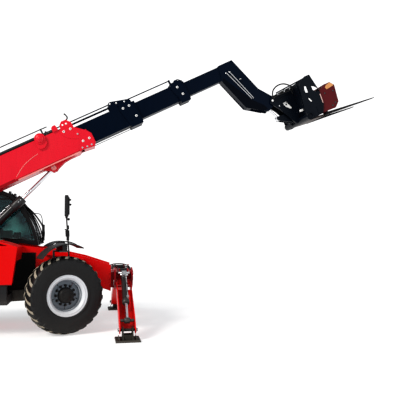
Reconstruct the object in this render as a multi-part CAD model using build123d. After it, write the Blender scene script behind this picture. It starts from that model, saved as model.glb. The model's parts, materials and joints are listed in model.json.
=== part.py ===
"""Telehandler: fixed frame, four-section boom, front stabilisers and a tilting fork carriage.

Millimetres. x runs forward, y to the machine's left, z up from the ground.
The machine is drawn with x = 0 under its right front wheel. The last section moves it
so that the origin lies on the ground, under the middle of its bounding box.
"""
import os
from math import atan2, cos, degrees, hypot, radians, sin

from build123d import *

# ---------------------------------------------------------------- driving dimensions
# wheels, axles and steering
WHEELBASE = 3070
FRONT_AXLE_X = -80
WHEEL_Y = 1010            # middle of a straight wheel
KINGPIN_Y = 780
TYRE_RADIUS = 625
TYRE_WIDTH = 400
RIM_RADIUS = 330
RIM_LIP = 252             # inside of the rim's outer ring
HUB_RADIUS = 132
STUB_RADIUS = 60
GUARD_SHELF = TYRE_RADIUS + 87   # top of a mudguard's bracket, above the axle
KINGPIN_RADIUS = 28
FRONT_STEER = 20          # front wheels are turned this far to the left, degrees

# frame
RAIL_INNER_Y = 360
RAIL_THICKNESS = 25
BELLY_Z = 487
AXLE_SADDLE_Z = TYRE_RADIUS + 175
NOSE_X = 762
REAR_OVERHANG = 1000      # rear axle to the end of the counterweight
HALF_WIDTH = 1170         # outside of cab and engine cover
PANEL = 25                # sheet-metal covers

# boom
PIVOT_X = -3500
PIVOT_Z = 1487
BOOM_ANGLE = 26.4
PIVOT_PIN_RADIUS = 50
BOOM_WALL = 16
RED_HEAD_U = 4345         # front of the outer section's head, along the boom
DRAWN_OUT = 610           # how far each inner section stands out of its retracted place
STROKE = 3400             # travel of each inner section
OVERLAP = 780             # stays inside at full reach

# forks and carriage
FORK_ANGLE = 18.5
FORK_LENGTH = 1170
FORK_WIDTH = 125
FORK_THICKNESS = 50
FORK_Y = 430
CARRIAGE_HALF_WIDTH = 610

# stabilisers
LEG_X = 970
LEG_HALF_WIDTH = 125
FOOT_Y = 1720
FOOT_PIN_Z = 160
FOOT_SIZE = 370
LEG_BARREL = 860
LEG_BARREL_RADIUS = 52
LEG_ROD_RADIUS = 28
LEG_SIDE_GAP = 8          # leg to the plates beside it

# pins
FIT = 0.06                # radial running clearance of a pin in its bore

REAR_AXLE_X = FRONT_AXLE_X - WHEELBASE
REAR_X = REAR_AXLE_X - REAR_OVERHANG
RAIL_OUTER_Y = RAIL_INNER_Y + RAIL_THICKNESS

parts = {}


# ---------------------------------------------------------------- drawing helpers
def prism(face, y_low, y_high):
    """A face drawn in x-z, as a solid between two values of y."""
    placed = Location((0, y_low, 0)) * face
    return extrude(placed, amount=y_high - y_low, dir=(0, 1, 0))


def outline_xz(points):
    return make_face(Polyline(*[(x, 0, z) for x, z in points], close=True))


def slab_xz(points, y_low, y_high):
    return prism(outline_xz(points), y_low, y_high)


def slab_yz(points, x_low, x_high):
    face = make_face(Polyline(*[(x_low, y, z) for y, z in points], close=True))
    return extrude(face, amount=x_high - x_low, dir=(1, 0, 0))


def block(x_low, x_high, y_low, y_high, z_low, z_high):
    size = (x_high - x_low, y_high - y_low, z_high - z_low)
    middle = ((x_low + x_high) / 2, (y_low + y_high) / 2, (z_low + z_high) / 2)
    return Location(middle) * Box(*size)


def rod(start, end, radius):
    """A round bar between two points."""
    start, end = Vector(*start), Vector(*end)
    plane = Plane(origin=start, z_dir=end - start)
    return extrude(plane * Circle(radius), amount=(end - start).length)


def tube(start, end, radius, bore):
    return rod(start, end, radius) - rod(start, end, bore)


def cross_pin(x, z, radius, y_low, y_high):
    return rod((x, y_low, z), (x, y_high, z), radius)


def both_sides(shape):
    """The shape and its mirror image across the machine's centre plane."""
    return shape + mirror(shape, Plane.XZ)


def pipe_along(points, radius, bend_radius):
    """A round pipe with straight runs and tangent arcs at its bends."""
    path = FilletPolyline(*points, radius=bend_radius)
    start = Plane(origin=path @ 0, z_dir=path % 0)
    return sweep(start * Circle(radius), path=path)


def hinge(start, end):
    """Fixed and moving halves of a hinge on a line between two points: pin with end knuckles, middle knuckle."""
    start, end = Vector(*start), Vector(*end)
    step = (end - start) * (1 / 3)
    gap = step.normalized() * 1.0
    fixed = rod(start, end, 6) + rod(start, start + step, 11) + rod(end - step, end, 11)
    moving = tube(start + step + gap, end - step - gap, 11, 6 + FIT)
    return fixed, moving


# ---------------------------------------------------------------- wheels
def tyre_profile():
    """Cross-section of a tyre: y across, radius out, drawn in y-z."""
    half = TYRE_WIDTH / 2
    with BuildSketch(Plane.YZ) as profile:
        with BuildLine():
            Polyline((-half * 0.85, RIM_RADIUS), (-half * 0.93, RIM_RADIUS + 25))
            ThreePointArc((-half * 0.93, RIM_RADIUS + 25), (-half, TYRE_RADIUS * 0.76),
                          (-half * 0.9, TYRE_RADIUS - 28))
            ThreePointArc((-half * 0.9, TYRE_RADIUS - 28), (0, TYRE_RADIUS),
                          (half * 0.9, TYRE_RADIUS - 28))
            ThreePointArc((half * 0.9, TYRE_RADIUS - 28), (half, TYRE_RADIUS * 0.76),
                          (half * 0.93, RIM_RADIUS + 25))
            Polyline((half * 0.93, RIM_RADIUS + 25), (half * 0.85, RIM_RADIUS),
                     (-half * 0.85, RIM_RADIUS))
        make_face()
    return profile.sketch


def rim_solid():
    """Rim, slotted disc and hub, drawn round the y axis with the outside towards -y."""
    half = TYRE_WIDTH / 2 * 0.85
    disc_y = -30
    with BuildSketch(Plane.YZ) as profile:
        with BuildLine():
            Polyline(
                (-half, RIM_LIP + 34), (-half, RIM_RADIUS - 0.3), (half, RIM_RADIUS - 0.3),
                (half, RIM_RADIUS - 24), (-half + 60, RIM_LIP + 22), (-half + 95, RIM_LIP),
                (disc_y + 18, RIM_LIP - 6), (disc_y + 18, HUB_RADIUS), (disc_y + 70, HUB_RADIUS),
                (disc_y + 70, STUB_RADIUS + FIT), (-62, STUB_RADIUS + FIT), (-62, 0),
                (-150, 0), (-150, HUB_RADIUS - 42), (-138, HUB_RADIUS - 20), (disc_y - 40, HUB_RADIUS - 6),
                (disc_y, HUB_RADIUS + 40), (disc_y, RIM_LIP - 20), (-half + 66, RIM_LIP - 14),
                (-half + 30, RIM_LIP + 10), close=True)
        make_face()
    body = revolve(profile.sketch, axis=Axis.Y)
    slot_radius = 0.5 * (HUB_RADIUS + 44 + RIM_LIP - 20)
    for index in range(5):
        turn = Location((0, 0, 0), (0, 90 + 72 * index, 0))
        slot = turn * (Location((slot_radius, disc_y + 9, 0)) * Box(44, 60, 14))
        body -= slot
    return body


def knuckle_solid():
    """Right-hand knuckle round its kingpin at the origin, wheel towards -y, with its mudguard bracket."""
    reach = WHEEL_Y - KINGPIN_Y
    body = rod((0, 0, -118), (0, 0, 118), 56)
    body += rod((0, 0, 0), (0, -reach + 101, 0), 104)
    body += rod((0, 0, 0), (0, -reach - 40 + 79, 0), STUB_RADIUS)
    body += block(-190, 0, -30, 30, -100, -68)
    body += rod((-185, 0, -100), (-185, 0, -68), 38)
    body += block(-124, -40, -20, 20, 60, 92)
    body += block(-124, -98, -20, 20, 60, GUARD_SHELF)
    body += block(-124, 30, -reach - 120, 20, GUARD_SHELF - 22, GUARD_SHELF)
    return body - rod((0, 0, -130), (0, 0, 130), KINGPIN_RADIUS + FIT)


def mudguard_solid():
    """Curved guard over a right-hand wheel, drawn round the kingpin at the origin."""
    reach = WHEEL_Y - KINGPIN_Y
    sheet = 14
    rear_z, top_z, front_z = TYRE_RADIUS - 41, TYRE_RADIUS + 185, TYRE_RADIUS + 117
    with BuildSketch(Plane.XZ) as profile:
        with BuildLine():
            ThreePointArc((-400, rear_z), (-40, top_z), (262, front_z))
            Line((262, front_z), (262, front_z + sheet))
            ThreePointArc((262, front_z + sheet), (-40, top_z + sheet), (-412, rear_z + sheet / 2))
            Line((-412, rear_z + sheet / 2), (-400, rear_z))
        make_face()
    face = profile.sketch
    guard = extrude(face, amount=360, dir=(0, -1, 0))
    guard = Location((0, -reach + 180, 0)) * guard
    return guard + block(-70, 10, -reach - 110, 10, GUARD_SHELF, top_z + 5)


def place_wheel(shape, axle_x, side, steer):
    """Carry a right-hand shape drawn round its kingpin to one corner; side is -1 right, +1 left."""
    if side > 0:
        shape = mirror(shape, Plane.XZ)
    return Location((axle_x, side * KINGPIN_Y, TYRE_RADIUS), (0, 0, steer)) * shape


WHEEL_PLACES = (
    # name, axle x, side, steering angle
    ("front_right", FRONT_AXLE_X, -1, FRONT_STEER),
    ("front_left", FRONT_AXLE_X, 1, FRONT_STEER),
    ("rear_right", REAR_AXLE_X, -1, 0),
    ("rear_left", REAR_AXLE_X, 1, 0),
)

wheel_offset = Location((0, -(WHEEL_Y - KINGPIN_Y), 0))
tyre = wheel_offset * revolve(tyre_profile(), axis=Axis.Y)
rim = wheel_offset * rim_solid()
knuckle = knuckle_solid()
mudguard = mudguard_solid()
for name, axle_x, side, steer in WHEEL_PLACES:
    parts[f"tyre_{name}"] = place_wheel(tyre, axle_x, side, steer)
    parts[f"rim_{name}"] = place_wheel(rim, axle_x, side, steer)
    parts[f"knuckle_{name}"] = place_wheel(knuckle, axle_x, side, steer)
    parts[f"mudguard_{name}"] = place_wheel(mudguard, axle_x, side, steer)


def axle_solid(axle_x):
    """Drive axle: cast beam with a centre housing, saddles and kingpin forks."""
    z = TYRE_RADIUS
    fork_y = KINGPIN_Y - 75
    body = rod((axle_x, -fork_y, z), (axle_x, fork_y, z), 78)
    body += Location((axle_x, 0, z)) * Sphere(170)
    body += rod((axle_x - 230, 0, z), (axle_x, 0, z), 95)
    half = RAIL_OUTER_Y
    body += both_sides(block(axle_x - 90, axle_x + 90, half - 90, half, z, AXLE_SADDLE_Z))
    for side in (-1, 1):
        y_in, y_out = side * fork_y, side * (KINGPIN_Y + 45)
        low, high = min(y_in, y_out), max(y_in, y_out)
        for sign in (-1, 1):
            z_near, z_far = z + sign * 124, z + sign * 156
            body += block(axle_x - 52, axle_x + 52, low, high, min(z_near, z_far), max(z_near, z_far))
        inner = min(side * (fork_y - 40), side * fork_y)
        body += block(axle_x - 60, axle_x + 60, inner, inner + 40, z - 156, z + 156)
        body += rod((axle_x, side * KINGPIN_Y, z - 156), (axle_x, side * KINGPIN_Y, z + 156),
                    KINGPIN_RADIUS)
    return body


parts["front_axle"] = axle_solid(FRONT_AXLE_X)
parts["rear_axle"] = axle_solid(REAR_AXLE_X)


# ---------------------------------------------------------------- lift cylinder places, used by frame and boom
def boom_point(u, w):
    """x and z of a point u along the boom from its pivot and w above its centre line."""
    a = radians(BOOM_ANGLE)
    return PIVOT_X + u * cos(a) - w * sin(a), PIVOT_Z + u * sin(a) + w * cos(a)


boom_place = Location((PIVOT_X, 0, PIVOT_Z), (0, -BOOM_ANGLE, 0))

LIFT_EYE_U = 3484
LIFT_EYE_W = -300
lift_eye = boom_point(LIFT_EYE_U, LIFT_EYE_W)
lift_base = (-2190, 750)
LIFT_BARREL = 2040
LIFT_BARREL_RADIUS = 68
LIFT_ROD_RADIUS = 34
LIFT_PIN_RADIUS = 25
LIFT_EYE_HALF = 45
LIFT_BASE_HALF = LIFT_BARREL_RADIUS + 4

# ---------------------------------------------------------------- frame
rear_flare = REAR_AXLE_X
rail_outline = [
    (NOSE_X, 607), (NOSE_X, 1056), (334, 1199), (-271, 1341), (-860, 1425), (-1010, 1180),
    (-2900, 1180), (-3230, 1640), (-3720, 1640), (-3820, 1300), (REAR_X + 190, 1300),
    (REAR_X + 190, 600), (rear_flare - 560, 600), (rear_flare - 360, AXLE_SADDLE_Z),
    (rear_flare + 330, AXLE_SADDLE_Z), (rear_flare + 620, BELLY_Z), (-855, BELLY_Z), (-562, 531),
    (-380, AXLE_SADDLE_Z), (250, AXLE_SADDLE_Z), (542, 680),
]
rail = slab_xz(rail_outline, RAIL_INNER_Y, RAIL_OUTER_Y)
rail += cross_pin(PIVOT_X, PIVOT_Z, 120, RAIL_INNER_Y - 8, RAIL_OUTER_Y + 22)
rail += slab_xz([(-380, 1260), (300, 1150), (300, 1172), (-380, 1290)], RAIL_OUTER_Y, 520)
frame = both_sides(rail)
inner_y = RAIL_INNER_Y
frame += block(NOSE_X - 30, NOSE_X, -inner_y, inner_y, 607, 950)
frame += block(-380, 250, -inner_y, inner_y, AXLE_SADDLE_Z, AXLE_SADDLE_Z + 20)
frame += block(rear_flare - 360, rear_flare + 330, -inner_y, inner_y, AXLE_SADDLE_Z, AXLE_SADDLE_Z + 20)
frame += block(-1780, -855, -inner_y, inner_y, BELLY_Z, BELLY_Z + 20)
frame += block(-400, -380, -inner_y, inner_y, 560, AXLE_SADDLE_Z + 20)
frame += block(rear_flare + 580, rear_flare + 600, -inner_y, inner_y, 520, 1180)
frame += block(-3820, -3790, -inner_y, inner_y, AXLE_SADDLE_Z, 1300)
# bulkhead with two ears that hold the foot of the lift cylinder
bulkhead_x = lift_base[0] - 170
frame += block(bulkhead_x - 20, bulkhead_x, -inner_y, inner_y, BELLY_Z, 1060)
lift_ear = LIFT_BASE_HALF + 5
EAR_PLATE = 30
lift_bracket = slab_xz([(bulkhead_x - 1, lift_base[1] - 150), (lift_base[0] + 10, lift_base[1] - 72),
                        (lift_base[0] + 62, lift_base[1] - 36), (lift_base[0] + 62, lift_base[1] + 36),
                        (lift_base[0] + 10, lift_base[1] + 72), (bulkhead_x - 1, lift_base[1] + 190)],
                       lift_ear, lift_ear + EAR_PLATE)
lift_bracket += cross_pin(*lift_base, LIFT_PIN_RADIUS + 16, lift_ear + EAR_PLATE - 1, lift_ear + EAR_PLATE + 14)
frame += both_sides(lift_bracket)
frame += cross_pin(PIVOT_X, PIVOT_Z, PIVOT_PIN_RADIUS, -inner_y, inner_y)

# fixed wall behind the engine hood, with the hood's two hinges along its top
tank_front_x, tank_rear_x = -870, REAR_AXLE_X + 850
HOOD_TOP = 1481
HOOD_HINGE = (-RAIL_OUTER_Y - 14, HOOD_TOP + 18)   # y, z
hood_wall_y = (-RAIL_OUTER_Y, -RAIL_OUTER_Y + 10)
frame += block(tank_rear_x, -1020, *hood_wall_y, 1170, HOOD_TOP + 14)
hinge_knuckles = []
for x in (-2150, -1250):
    fixed, moving = hinge((x, *HOOD_HINGE), (x + 150, *HOOD_HINGE))
    frame += fixed
    for leaf_x in (x, x + 110):
        frame += block(leaf_x, leaf_x + 40, HOOD_HINGE[0] + 4, hood_wall_y[0] + 1, HOOD_TOP + 6, HOOD_TOP + 14)
    hinge_knuckles.append(moving + block(x + 55, x + 95, HOOD_HINGE[0] - 40, HOOD_HINGE[0] - 8,
                                         HOOD_TOP - 1, HOOD_TOP + 14))
parts["chassis_frame"] = frame

rear_flank = REAR_AXLE_X - 800
counterweight_side = [
    (REAR_X, 640), (REAR_X, 1180), (REAR_X + 90, 1330), (rear_flank + 10, 1380),
    (rear_flank + 10, 560), (REAR_X + 70, 560),
]
weight = slab_xz(counterweight_side, -HALF_WIDTH + 30, HALF_WIDTH - 30)
weight -= block(REAR_X + 189.7, rear_flank + 20, -RAIL_OUTER_Y - 0.3, RAIL_OUTER_Y + 0.3, 500, 1400)
parts["counterweight"] = weight

parts["engine_block"] = block(-2080, -1080, -1010, -450, 632.3, 1290)
right_tank = slab_yz([(-RAIL_OUTER_Y, BELLY_Z), (-1060, BELLY_Z), (-HALF_WIDTH + 20, 560),
                      (-HALF_WIDTH + 20, 800), (-1030, 800), (-1030, 632), (-RAIL_OUTER_Y, 632)],
                     tank_rear_x, tank_front_x)
left_tank = slab_yz([(RAIL_OUTER_Y, BELLY_Z), (1000, BELLY_Z), (1060, 560), (1060, 790), (RAIL_OUTER_Y, 790)],
                    tank_rear_x, -1500)
step_side = slab_xz([(-1490, 420), (-880, 420), (-880, 450), (-1490, 450)], 900, HALF_WIDTH - 20)
step_side += slab_xz([(-1490, 640), (-900, 640), (-900, 670), (-1490, 670)], 960, HALF_WIDTH - 20)
step_side += block(-1500, -1470, 900, HALF_WIDTH - 20, 420, 790)
step_side += block(-900, -880, 900, HALF_WIDTH - 20, 420, 790)
step_side += block(-1490, -880, RAIL_OUTER_Y, 905, 640, 670)
parts["fuel_tank"] = right_tank
parts["hydraulic_tank_steps"] = left_tank + step_side

# ---------------------------------------------------------------- engine hood, hinged at its inner top edge
hood_side = outline_xz([(-795, 808), (-714, 1401), (-986, HOOD_TOP), (tank_rear_x, HOOD_TOP), (tank_rear_x, 808)])
hood_inner_y = -RAIL_OUTER_Y - 12
hood = prism(hood_side, -HALF_WIDTH, hood_inner_y)
hood -= prism(offset(hood_side, -PANEL), -HALF_WIDTH + PANEL, hood_inner_y + 1)
hood -= block(tank_rear_x - 1, -700, -HALF_WIDTH + PANEL, hood_inner_y + 1, 800, 808 + PANEL)
hood -= block(-880, -700, -1050, hood_inner_y + 1, 800, 1180)
hood -= slab_yz([(-HALF_WIDTH - 1, 1395), (-HALF_WIDTH - 1, 1500), (-1060, 1500)], tank_rear_x - 1, -700)
hood += slab_yz([(-HALF_WIDTH, 1370), (-HALF_WIDTH, 1394), (-1062, 1481), (-1080, 1481), (-1080, 1455),
                 (-HALF_WIDTH + PANEL, 1370)], tank_rear_x, -986)
for knuckle_piece in hinge_knuckles:
    hood += knuckle_piece
parts["engine_hood"] = hood

# ---------------------------------------------------------------- cab
CAB_INNER_Y = 225
CAB_WALL = 40
cab_front_low, cab_front_high = (-513, 1396), (-1006, 2312)
with BuildSketch(Plane.XZ) as cab_sketch:
    with BuildLine():
        ThreePointArc(cab_front_low, (-682, 1900), cab_front_high)
        Polyline(cab_front_high, (-1330, 2440), (-1500, 2490), (-1950, 2490), (-2130, 2380),
                 (-2180, 1500), (-2180, 830), (-1010, 830), (-860, 1010), (-640, 1330), cab_front_low)
    make_face()
cab_face = cab_sketch.sketch
rail_face = outline_xz(rail_outline)
cab = prism(cab_face, CAB_INNER_Y, HALF_WIDTH)
cab -= prism(offset(rail_face, 8), 0, RAIL_OUTER_Y + 8)
room = prism(offset(cab_face, -CAB_WALL), CAB_INNER_Y + CAB_WALL, HALF_WIDTH - CAB_WALL)
cab -= room - prism(offset(rail_face, 8 + CAB_WALL), 0, RAIL_OUTER_Y + 8 + CAB_WALL)
pillar = 62
window_face = offset(cab_face, -pillar)
above_sill = prism(outline_xz([(-400, 1480), (-400, 2600), (-2300, 2600), (-2300, 1480)]), 0, 2000)
right_window = prism(window_face, CAB_INNER_Y - 1, CAB_INNER_Y + CAB_WALL + 1) & above_sill
cab -= right_window
front_band = prism(cab_face, CAB_INNER_Y + pillar, HALF_WIDTH - pillar)
front_cut = block(-995, -500, 0, 2000, 1420, 2290)
cab -= front_band & front_cut
rear_cut = block(-2300, -2080, CAB_INNER_Y + pillar, HALF_WIDTH - pillar, 1480, 2300)
cab -= rear_cut
roof_cut = block(-1900, -1400, CAB_INNER_Y + 130, HALF_WIDTH - 130, 2400, 2600)
cab -= roof_cut
DOOR_REAR_X, DOOR_FRONT_X = -1850, -760
door_zone = prism(outline_xz([(DOOR_REAR_X, 870), (DOOR_REAR_X, 2600), (-400, 2600), (-400, 1200),
                              (DOOR_FRONT_X, 1200), (-980, 870)]), 0, 2000)
door_hole_face = offset(cab_face, -52)
cab -= prism(door_hole_face, HALF_WIDTH - CAB_WALL - 1, HALF_WIDTH + 1) & door_zone
rear_side_window = block(-2110, DOOR_REAR_X - 60, HALF_WIDTH - CAB_WALL - 1, HALF_WIDTH + 1, 1480, 2300)
cab -= rear_side_window
cab += block(-2100, -1000, RAIL_OUTER_Y, 900, 790, 831)
DOOR_HINGE = (DOOR_REAR_X - 4, HALF_WIDTH + 13)   # x, y
door_knuckles = []
for z in (1000, 2100):
    fixed, moving = hinge((*DOOR_HINGE, z), (*DOOR_HINGE, z + 120))
    cab += fixed
    cab += block(DOOR_HINGE[0] - 40, DOOR_HINGE[0] - 6, HALF_WIDTH - 1, HALF_WIDTH + 10, z, z + 40)
    door_knuckles.append(moving + block(DOOR_HINGE[0] + 7, DOOR_HINGE[0] + 45, HALF_WIDTH - 1, HALF_WIDTH + 16,
                                        z + 42, z + 78))
parts["cab_shell"] = cab

glass = 6
inset = 14
glass_face = offset(cab_face, -inset) - offset(cab_face, -inset - glass)
windscreen = prism(glass_face, CAB_INNER_Y + pillar, HALF_WIDTH - pillar) & front_cut
roof_glass = block(-1900, -1400, CAB_INNER_Y + 130, HALF_WIDTH - 130, 2470, 2476)
right_glass = prism(window_face, CAB_INNER_Y + inset, CAB_INNER_Y + inset + glass) & above_sill
side_glass = block(-2110, DOOR_REAR_X - 60, HALF_WIDTH - inset - glass, HALF_WIDTH - inset, 1480, 2300)
rear_glass = prism(glass_face, CAB_INNER_Y + pillar, HALF_WIDTH - pillar) & rear_cut
parts["cab_glass"] = [windscreen, roof_glass, right_glass, side_glass, rear_glass]

DOOR_GAP = 7
door_zone_small = prism(outline_xz([(DOOR_REAR_X + DOOR_GAP, 870 + DOOR_GAP), (DOOR_REAR_X + DOOR_GAP, 2600),
                                    (-400, 2600), (-400, 1200 + DOOR_GAP),
                                    (DOOR_FRONT_X - DOOR_GAP, 1200 + DOOR_GAP), (-984, 870 + DOOR_GAP)]), 0, 2000)
door_face = offset(cab_face, -52 - DOOR_GAP)
door = prism(door_face, HALF_WIDTH - CAB_WALL, HALF_WIDTH) & door_zone_small
door_glass_face = offset(cab_face, -52 - DOOR_GAP - 55)
door_glass_zone = prism(outline_xz([(DOOR_REAR_X + 60, 1250), (DOOR_REAR_X + 60, 2600), (-400, 2600),
                                    (-400, 1250)]), 0, 2000)
door -= prism(door_glass_face, HALF_WIDTH - CAB_WALL - 1, HALF_WIDTH + 1) & door_glass_zone
door += block(-1010, -880, HALF_WIDTH, HALF_WIDTH + 22, 1130, 1165)
for knuckle_piece in door_knuckles:
    door += knuckle_piece
parts["cab_door"] = door
parts["door_glass"] = prism(door_glass_face, HALF_WIDTH - 24, HALF_WIDTH - 18) & door_glass_zone

SEAT_X, SEAT_Y = -1640, (CAB_INNER_Y + HALF_WIDTH) / 2
floor_z = 830 + CAB_WALL
seat_base = slab_xz([(SEAT_X - 230, floor_z), (SEAT_X + 230, floor_z), (SEAT_X + 200, 1210),
                     (SEAT_X - 200, 1210)], SEAT_Y - 190, SEAT_Y + 190)
column = slab_xz([(-1130, floor_z), (-1050, floor_z), (-1070, 1480), (-1120, 1480)], SEAT_Y - 45, SEAT_Y + 45)
wheel_tilt = Location((-1105, SEAT_Y, 1500), (0, -25, 0))
column += wheel_tilt * Torus(180, 14)
column += wheel_tilt * Box(340, 36, 16)
column += wheel_tilt * Cylinder(45, 60)
parts["cab_controls"] = [seat_base, column]
parts["seat_cushion"] = (
    block(SEAT_X - 230, SEAT_X + 240, SEAT_Y - 240, SEAT_Y + 240, 1210.3, 1320)
    + slab_xz([(SEAT_X - 230, 1310), (SEAT_X - 110, 1310), (SEAT_X - 210, 1930), (SEAT_X - 310, 1930)],
              SEAT_Y - 230, SEAT_Y + 230))

# ---------------------------------------------------------------- mirrors
right_mirror = rod((48, -500, 1226.3), (48, -600, 1330), 14) + rod((48, -600, 1320), (10, -750, 1900), 12)
right_mirror += block(-12, 38, -850, -640, 1890, 2240)
right_mirror += rod((30, -680, 1560), (25, -700, 1660), 34)
left_mirror = rod((-585, HALF_WIDTH + 7.2, 1560), (-505, 1290, 1640), 9)
left_mirror += block(-530, -490, 1180, 1330, 1450, 1765)
parts["mirrors"] = [right_mirror, left_mirror]


# ---------------------------------------------------------------- boom
def boom_box(u_low, u_high, half_height, half_width, wall):
    """Open-ended rectangular tube along the boom."""
    outer = block(u_low, u_high, -half_width, half_width, -half_height, half_height)
    inner = block(u_low - 1, u_high + 1, -half_width + wall, half_width - wall,
                  -half_height + wall, half_height - wall)
    return outer - inner


RED_HALF_H, RED_HALF_W = 258, 190
SLIDE_GAP = 0.3           # between a wear pad and the tube it guides
PAD_LENGTH = 110
HEAD_PLATE = 20
PIPE_Y, PIPE_RADIUS = 20, 11
OUTER_PIPE_Y = -60

SECTIONS = (
    # name, half height, half width, wall, exposed length, head length, head plates rise above the tube by
    ("boom_section_2", 197, 150, 12, 635, 320, 38),
    ("boom_section_3", 160, 118, 12, 720, 280, 50),
    ("boom_section_4", 134, 90, 10, 850, 0, 0),
)

red_outline = outline_xz([
    (-300, 110), (-300, -110), (-170, -RED_HALF_H), (4030, -RED_HALF_H), (4060, -236),
    (4305, -264), (RED_HEAD_U, -200), (RED_HEAD_U, -30), (4295, 45), (4128, 186), (3960, 236),
    (3820, RED_HALF_H), (-170, RED_HALF_H),
])
outer = prism(red_outline, -RED_HALF_W, RED_HALF_W)
outer -= block(-160, 4500, -RED_HALF_W + BOOM_WALL, RED_HALF_W - BOOM_WALL,
               -RED_HALF_H + BOOM_WALL, RED_HALF_H - BOOM_WALL)
outer -= block(LIFT_EYE_U - 260, LIFT_EYE_U + 260, -LIFT_EYE_HALF - 5, LIFT_EYE_HALF + 5,
               -RED_HALF_H - 1, -RED_HALF_H + BOOM_WALL + 1)
outer += cross_pin(0, 0, 95, -RAIL_INNER_Y + 10, RAIL_INNER_Y - 10)
outer -= cross_pin(0, 0, PIVOT_PIN_RADIUS + FIT, -RAIL_INNER_Y, RAIL_INNER_Y)
ear_face = outline_xz([(3290, -RED_HALF_H), (3415, -335), (3450, -372), (3520, -372), (3560, -345),
                       (3700, -290), (3960, -RED_HALF_H)])
outer += both_sides(prism(ear_face, LIFT_EYE_HALF + 5, LIFT_EYE_HALF + 5 + EAR_PLATE))
outer += cross_pin(LIFT_EYE_U, LIFT_EYE_W, LIFT_PIN_RADIUS, -LIFT_EYE_HALF - 50, LIFT_EYE_HALF + 50)
for side in (-1, 1):
    disc_in, disc_out = side * (RED_HALF_W - 1), side * (RED_HALF_W + 42)
    outer += cross_pin(3492, RED_HALF_H - 12, 95, min(disc_in, disc_out), max(disc_in, disc_out))
# arch over the pipes where they leave the outer section
arch_face = outline_xz([(3880, 244), (3900, 330), (3955, 376), (4040, 376), (4105, 298), (4112, 190), (3960, 232)])
outer += both_sides(prism(arch_face, RED_HALF_W - 26, RED_HALF_W - 10))
outer += block(3945, 4045, -RED_HALF_W + 10, RED_HALF_W - 10, 362, 376)


def guide_pads(u_low, room_h, room_w, half_h, half_w):
    """Wear pads inside the front of a tube, round the next section."""
    u_high = u_low + PAD_LENGTH
    pads = block(u_low, u_high, -half_w + 20, half_w - 20, -room_h - 0.5, -half_h - SLIDE_GAP)
    pads += block(u_low, u_high, half_w + SLIDE_GAP, room_w + 0.5, -half_h + 40, half_h - 120)
    pads += block(u_low, u_high, -room_w - 0.5, -half_w - SLIDE_GAP, -half_h + 40, half_h - 120)
    return pads


def tail_pads(u_low, room_h, room_w, half_h, half_w):
    """Wear pads round the tail of a section, inside the tube that holds it."""
    u_high = u_low + PAD_LENGTH
    pads = block(u_low, u_high, -half_w + 15, half_w - 15, half_h - 0.5, room_h - SLIDE_GAP)
    pads += block(u_low, u_high, half_w - 0.5, room_w - SLIDE_GAP, -half_h + 40, half_h - 40)
    pads += block(u_low, u_high, -room_w + SLIDE_GAP, -half_w + 0.5, -half_h + 40, half_h - 40)
    return pads


first_h, first_w = SECTIONS[0][1:3]
outer += guide_pads(4180, RED_HALF_H - BOOM_WALL, RED_HALF_W - BOOM_WALL, first_h, first_w)
outer += block(3760, 3900, -first_w + 20, first_w - 20, first_h + SLIDE_GAP, RED_HALF_H - BOOM_WALL + 0.5)
parts["outer_boom"] = boom_place * outer

# hose and pipe clipped along the top of the outer section
hose = rod((60, -120, RED_HALF_H + 32.3), (3660, -120, RED_HALF_H + 32.3), 32)
hose += rod((60, -120, 404), (3690, -120, 404), 10)
for u in (120, 1300, 2500, 3560):
    hose += block(u, u + 30, -150, -90, RED_HALF_H + 0.2, 412)
parts["boom_hose"] = boom_place * hose

front_u = RED_HEAD_U
room_h, room_w = RED_HALF_H - BOOM_WALL, RED_HALF_W - BOOM_WALL
for index, (name, half_h, half_w, wall, exposed, head_length, rise) in enumerate(SECTIONS):
    rear_u = front_u - OVERLAP - STROKE + DRAWN_OUT
    end_u = front_u + exposed + head_length
    section = boom_box(rear_u, end_u, half_h, half_w, wall)
    section += tail_pads(rear_u, room_h, room_w, half_h, half_w)
    if head_length:
        low, high = end_u - head_length, end_u
        head = outline_xz([(low, half_h - 60), (low + 20, half_h + rise), (high - 60, half_h + rise),
                           (high, -half_h + 30), (high - 15, -half_h - rise), (low + 80, -half_h - rise),
                           (low + 60, -half_h + 60)])
        section += both_sides(prism(head, half_w - 1, half_w + HEAD_PLATE))
        section += block(low + 20, high - 62, -half_w, half_w, half_h - 1, half_h + rise - 6)
        section += block(low + 80, high - 15, -half_w, half_w, -half_h - rise + 6, -half_h + 1)
        next_h, next_w = SECTIONS[index + 1][1:3]
        section += guide_pads(high - PAD_LENGTH - 10, half_h - wall, half_w - wall, next_h, next_w)
        section += block(low + 30, low + 30 + PAD_LENGTH, -next_w + 20, next_w - 20,
                         next_h + SLIDE_GAP, half_h - wall + 0.5)
    # pipes that lead back over the tube behind, held in a bracket at the head
    if index == 0:
        pipe_rear = 4000 - (STROKE - DRAWN_OUT)
        for w in (276, 339):
            section += rod((pipe_rear, PIPE_Y, w), (low - 20, PIPE_Y, w), PIPE_RADIUS)
        section += block(low - 60, low - 20, PIPE_Y - 26, PIPE_Y + 26, half_h - 1, 352)
    if index == 1:
        pipe_rear = 5060 - (STROKE - DRAWN_OUT)
        section += rod((pipe_rear, OUTER_PIPE_Y, 276), (low + 40, OUTER_PIPE_Y, 276), PIPE_RADIUS)
        section += block(low + 30, low + 60, OUTER_PIPE_Y - 24, OUTER_PIPE_Y + 24, half_h + rise - 8, 290)
    parts[name] = boom_place * section
    front_u = end_u
    room_h, room_w = half_h - wall, half_w - wall

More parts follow.
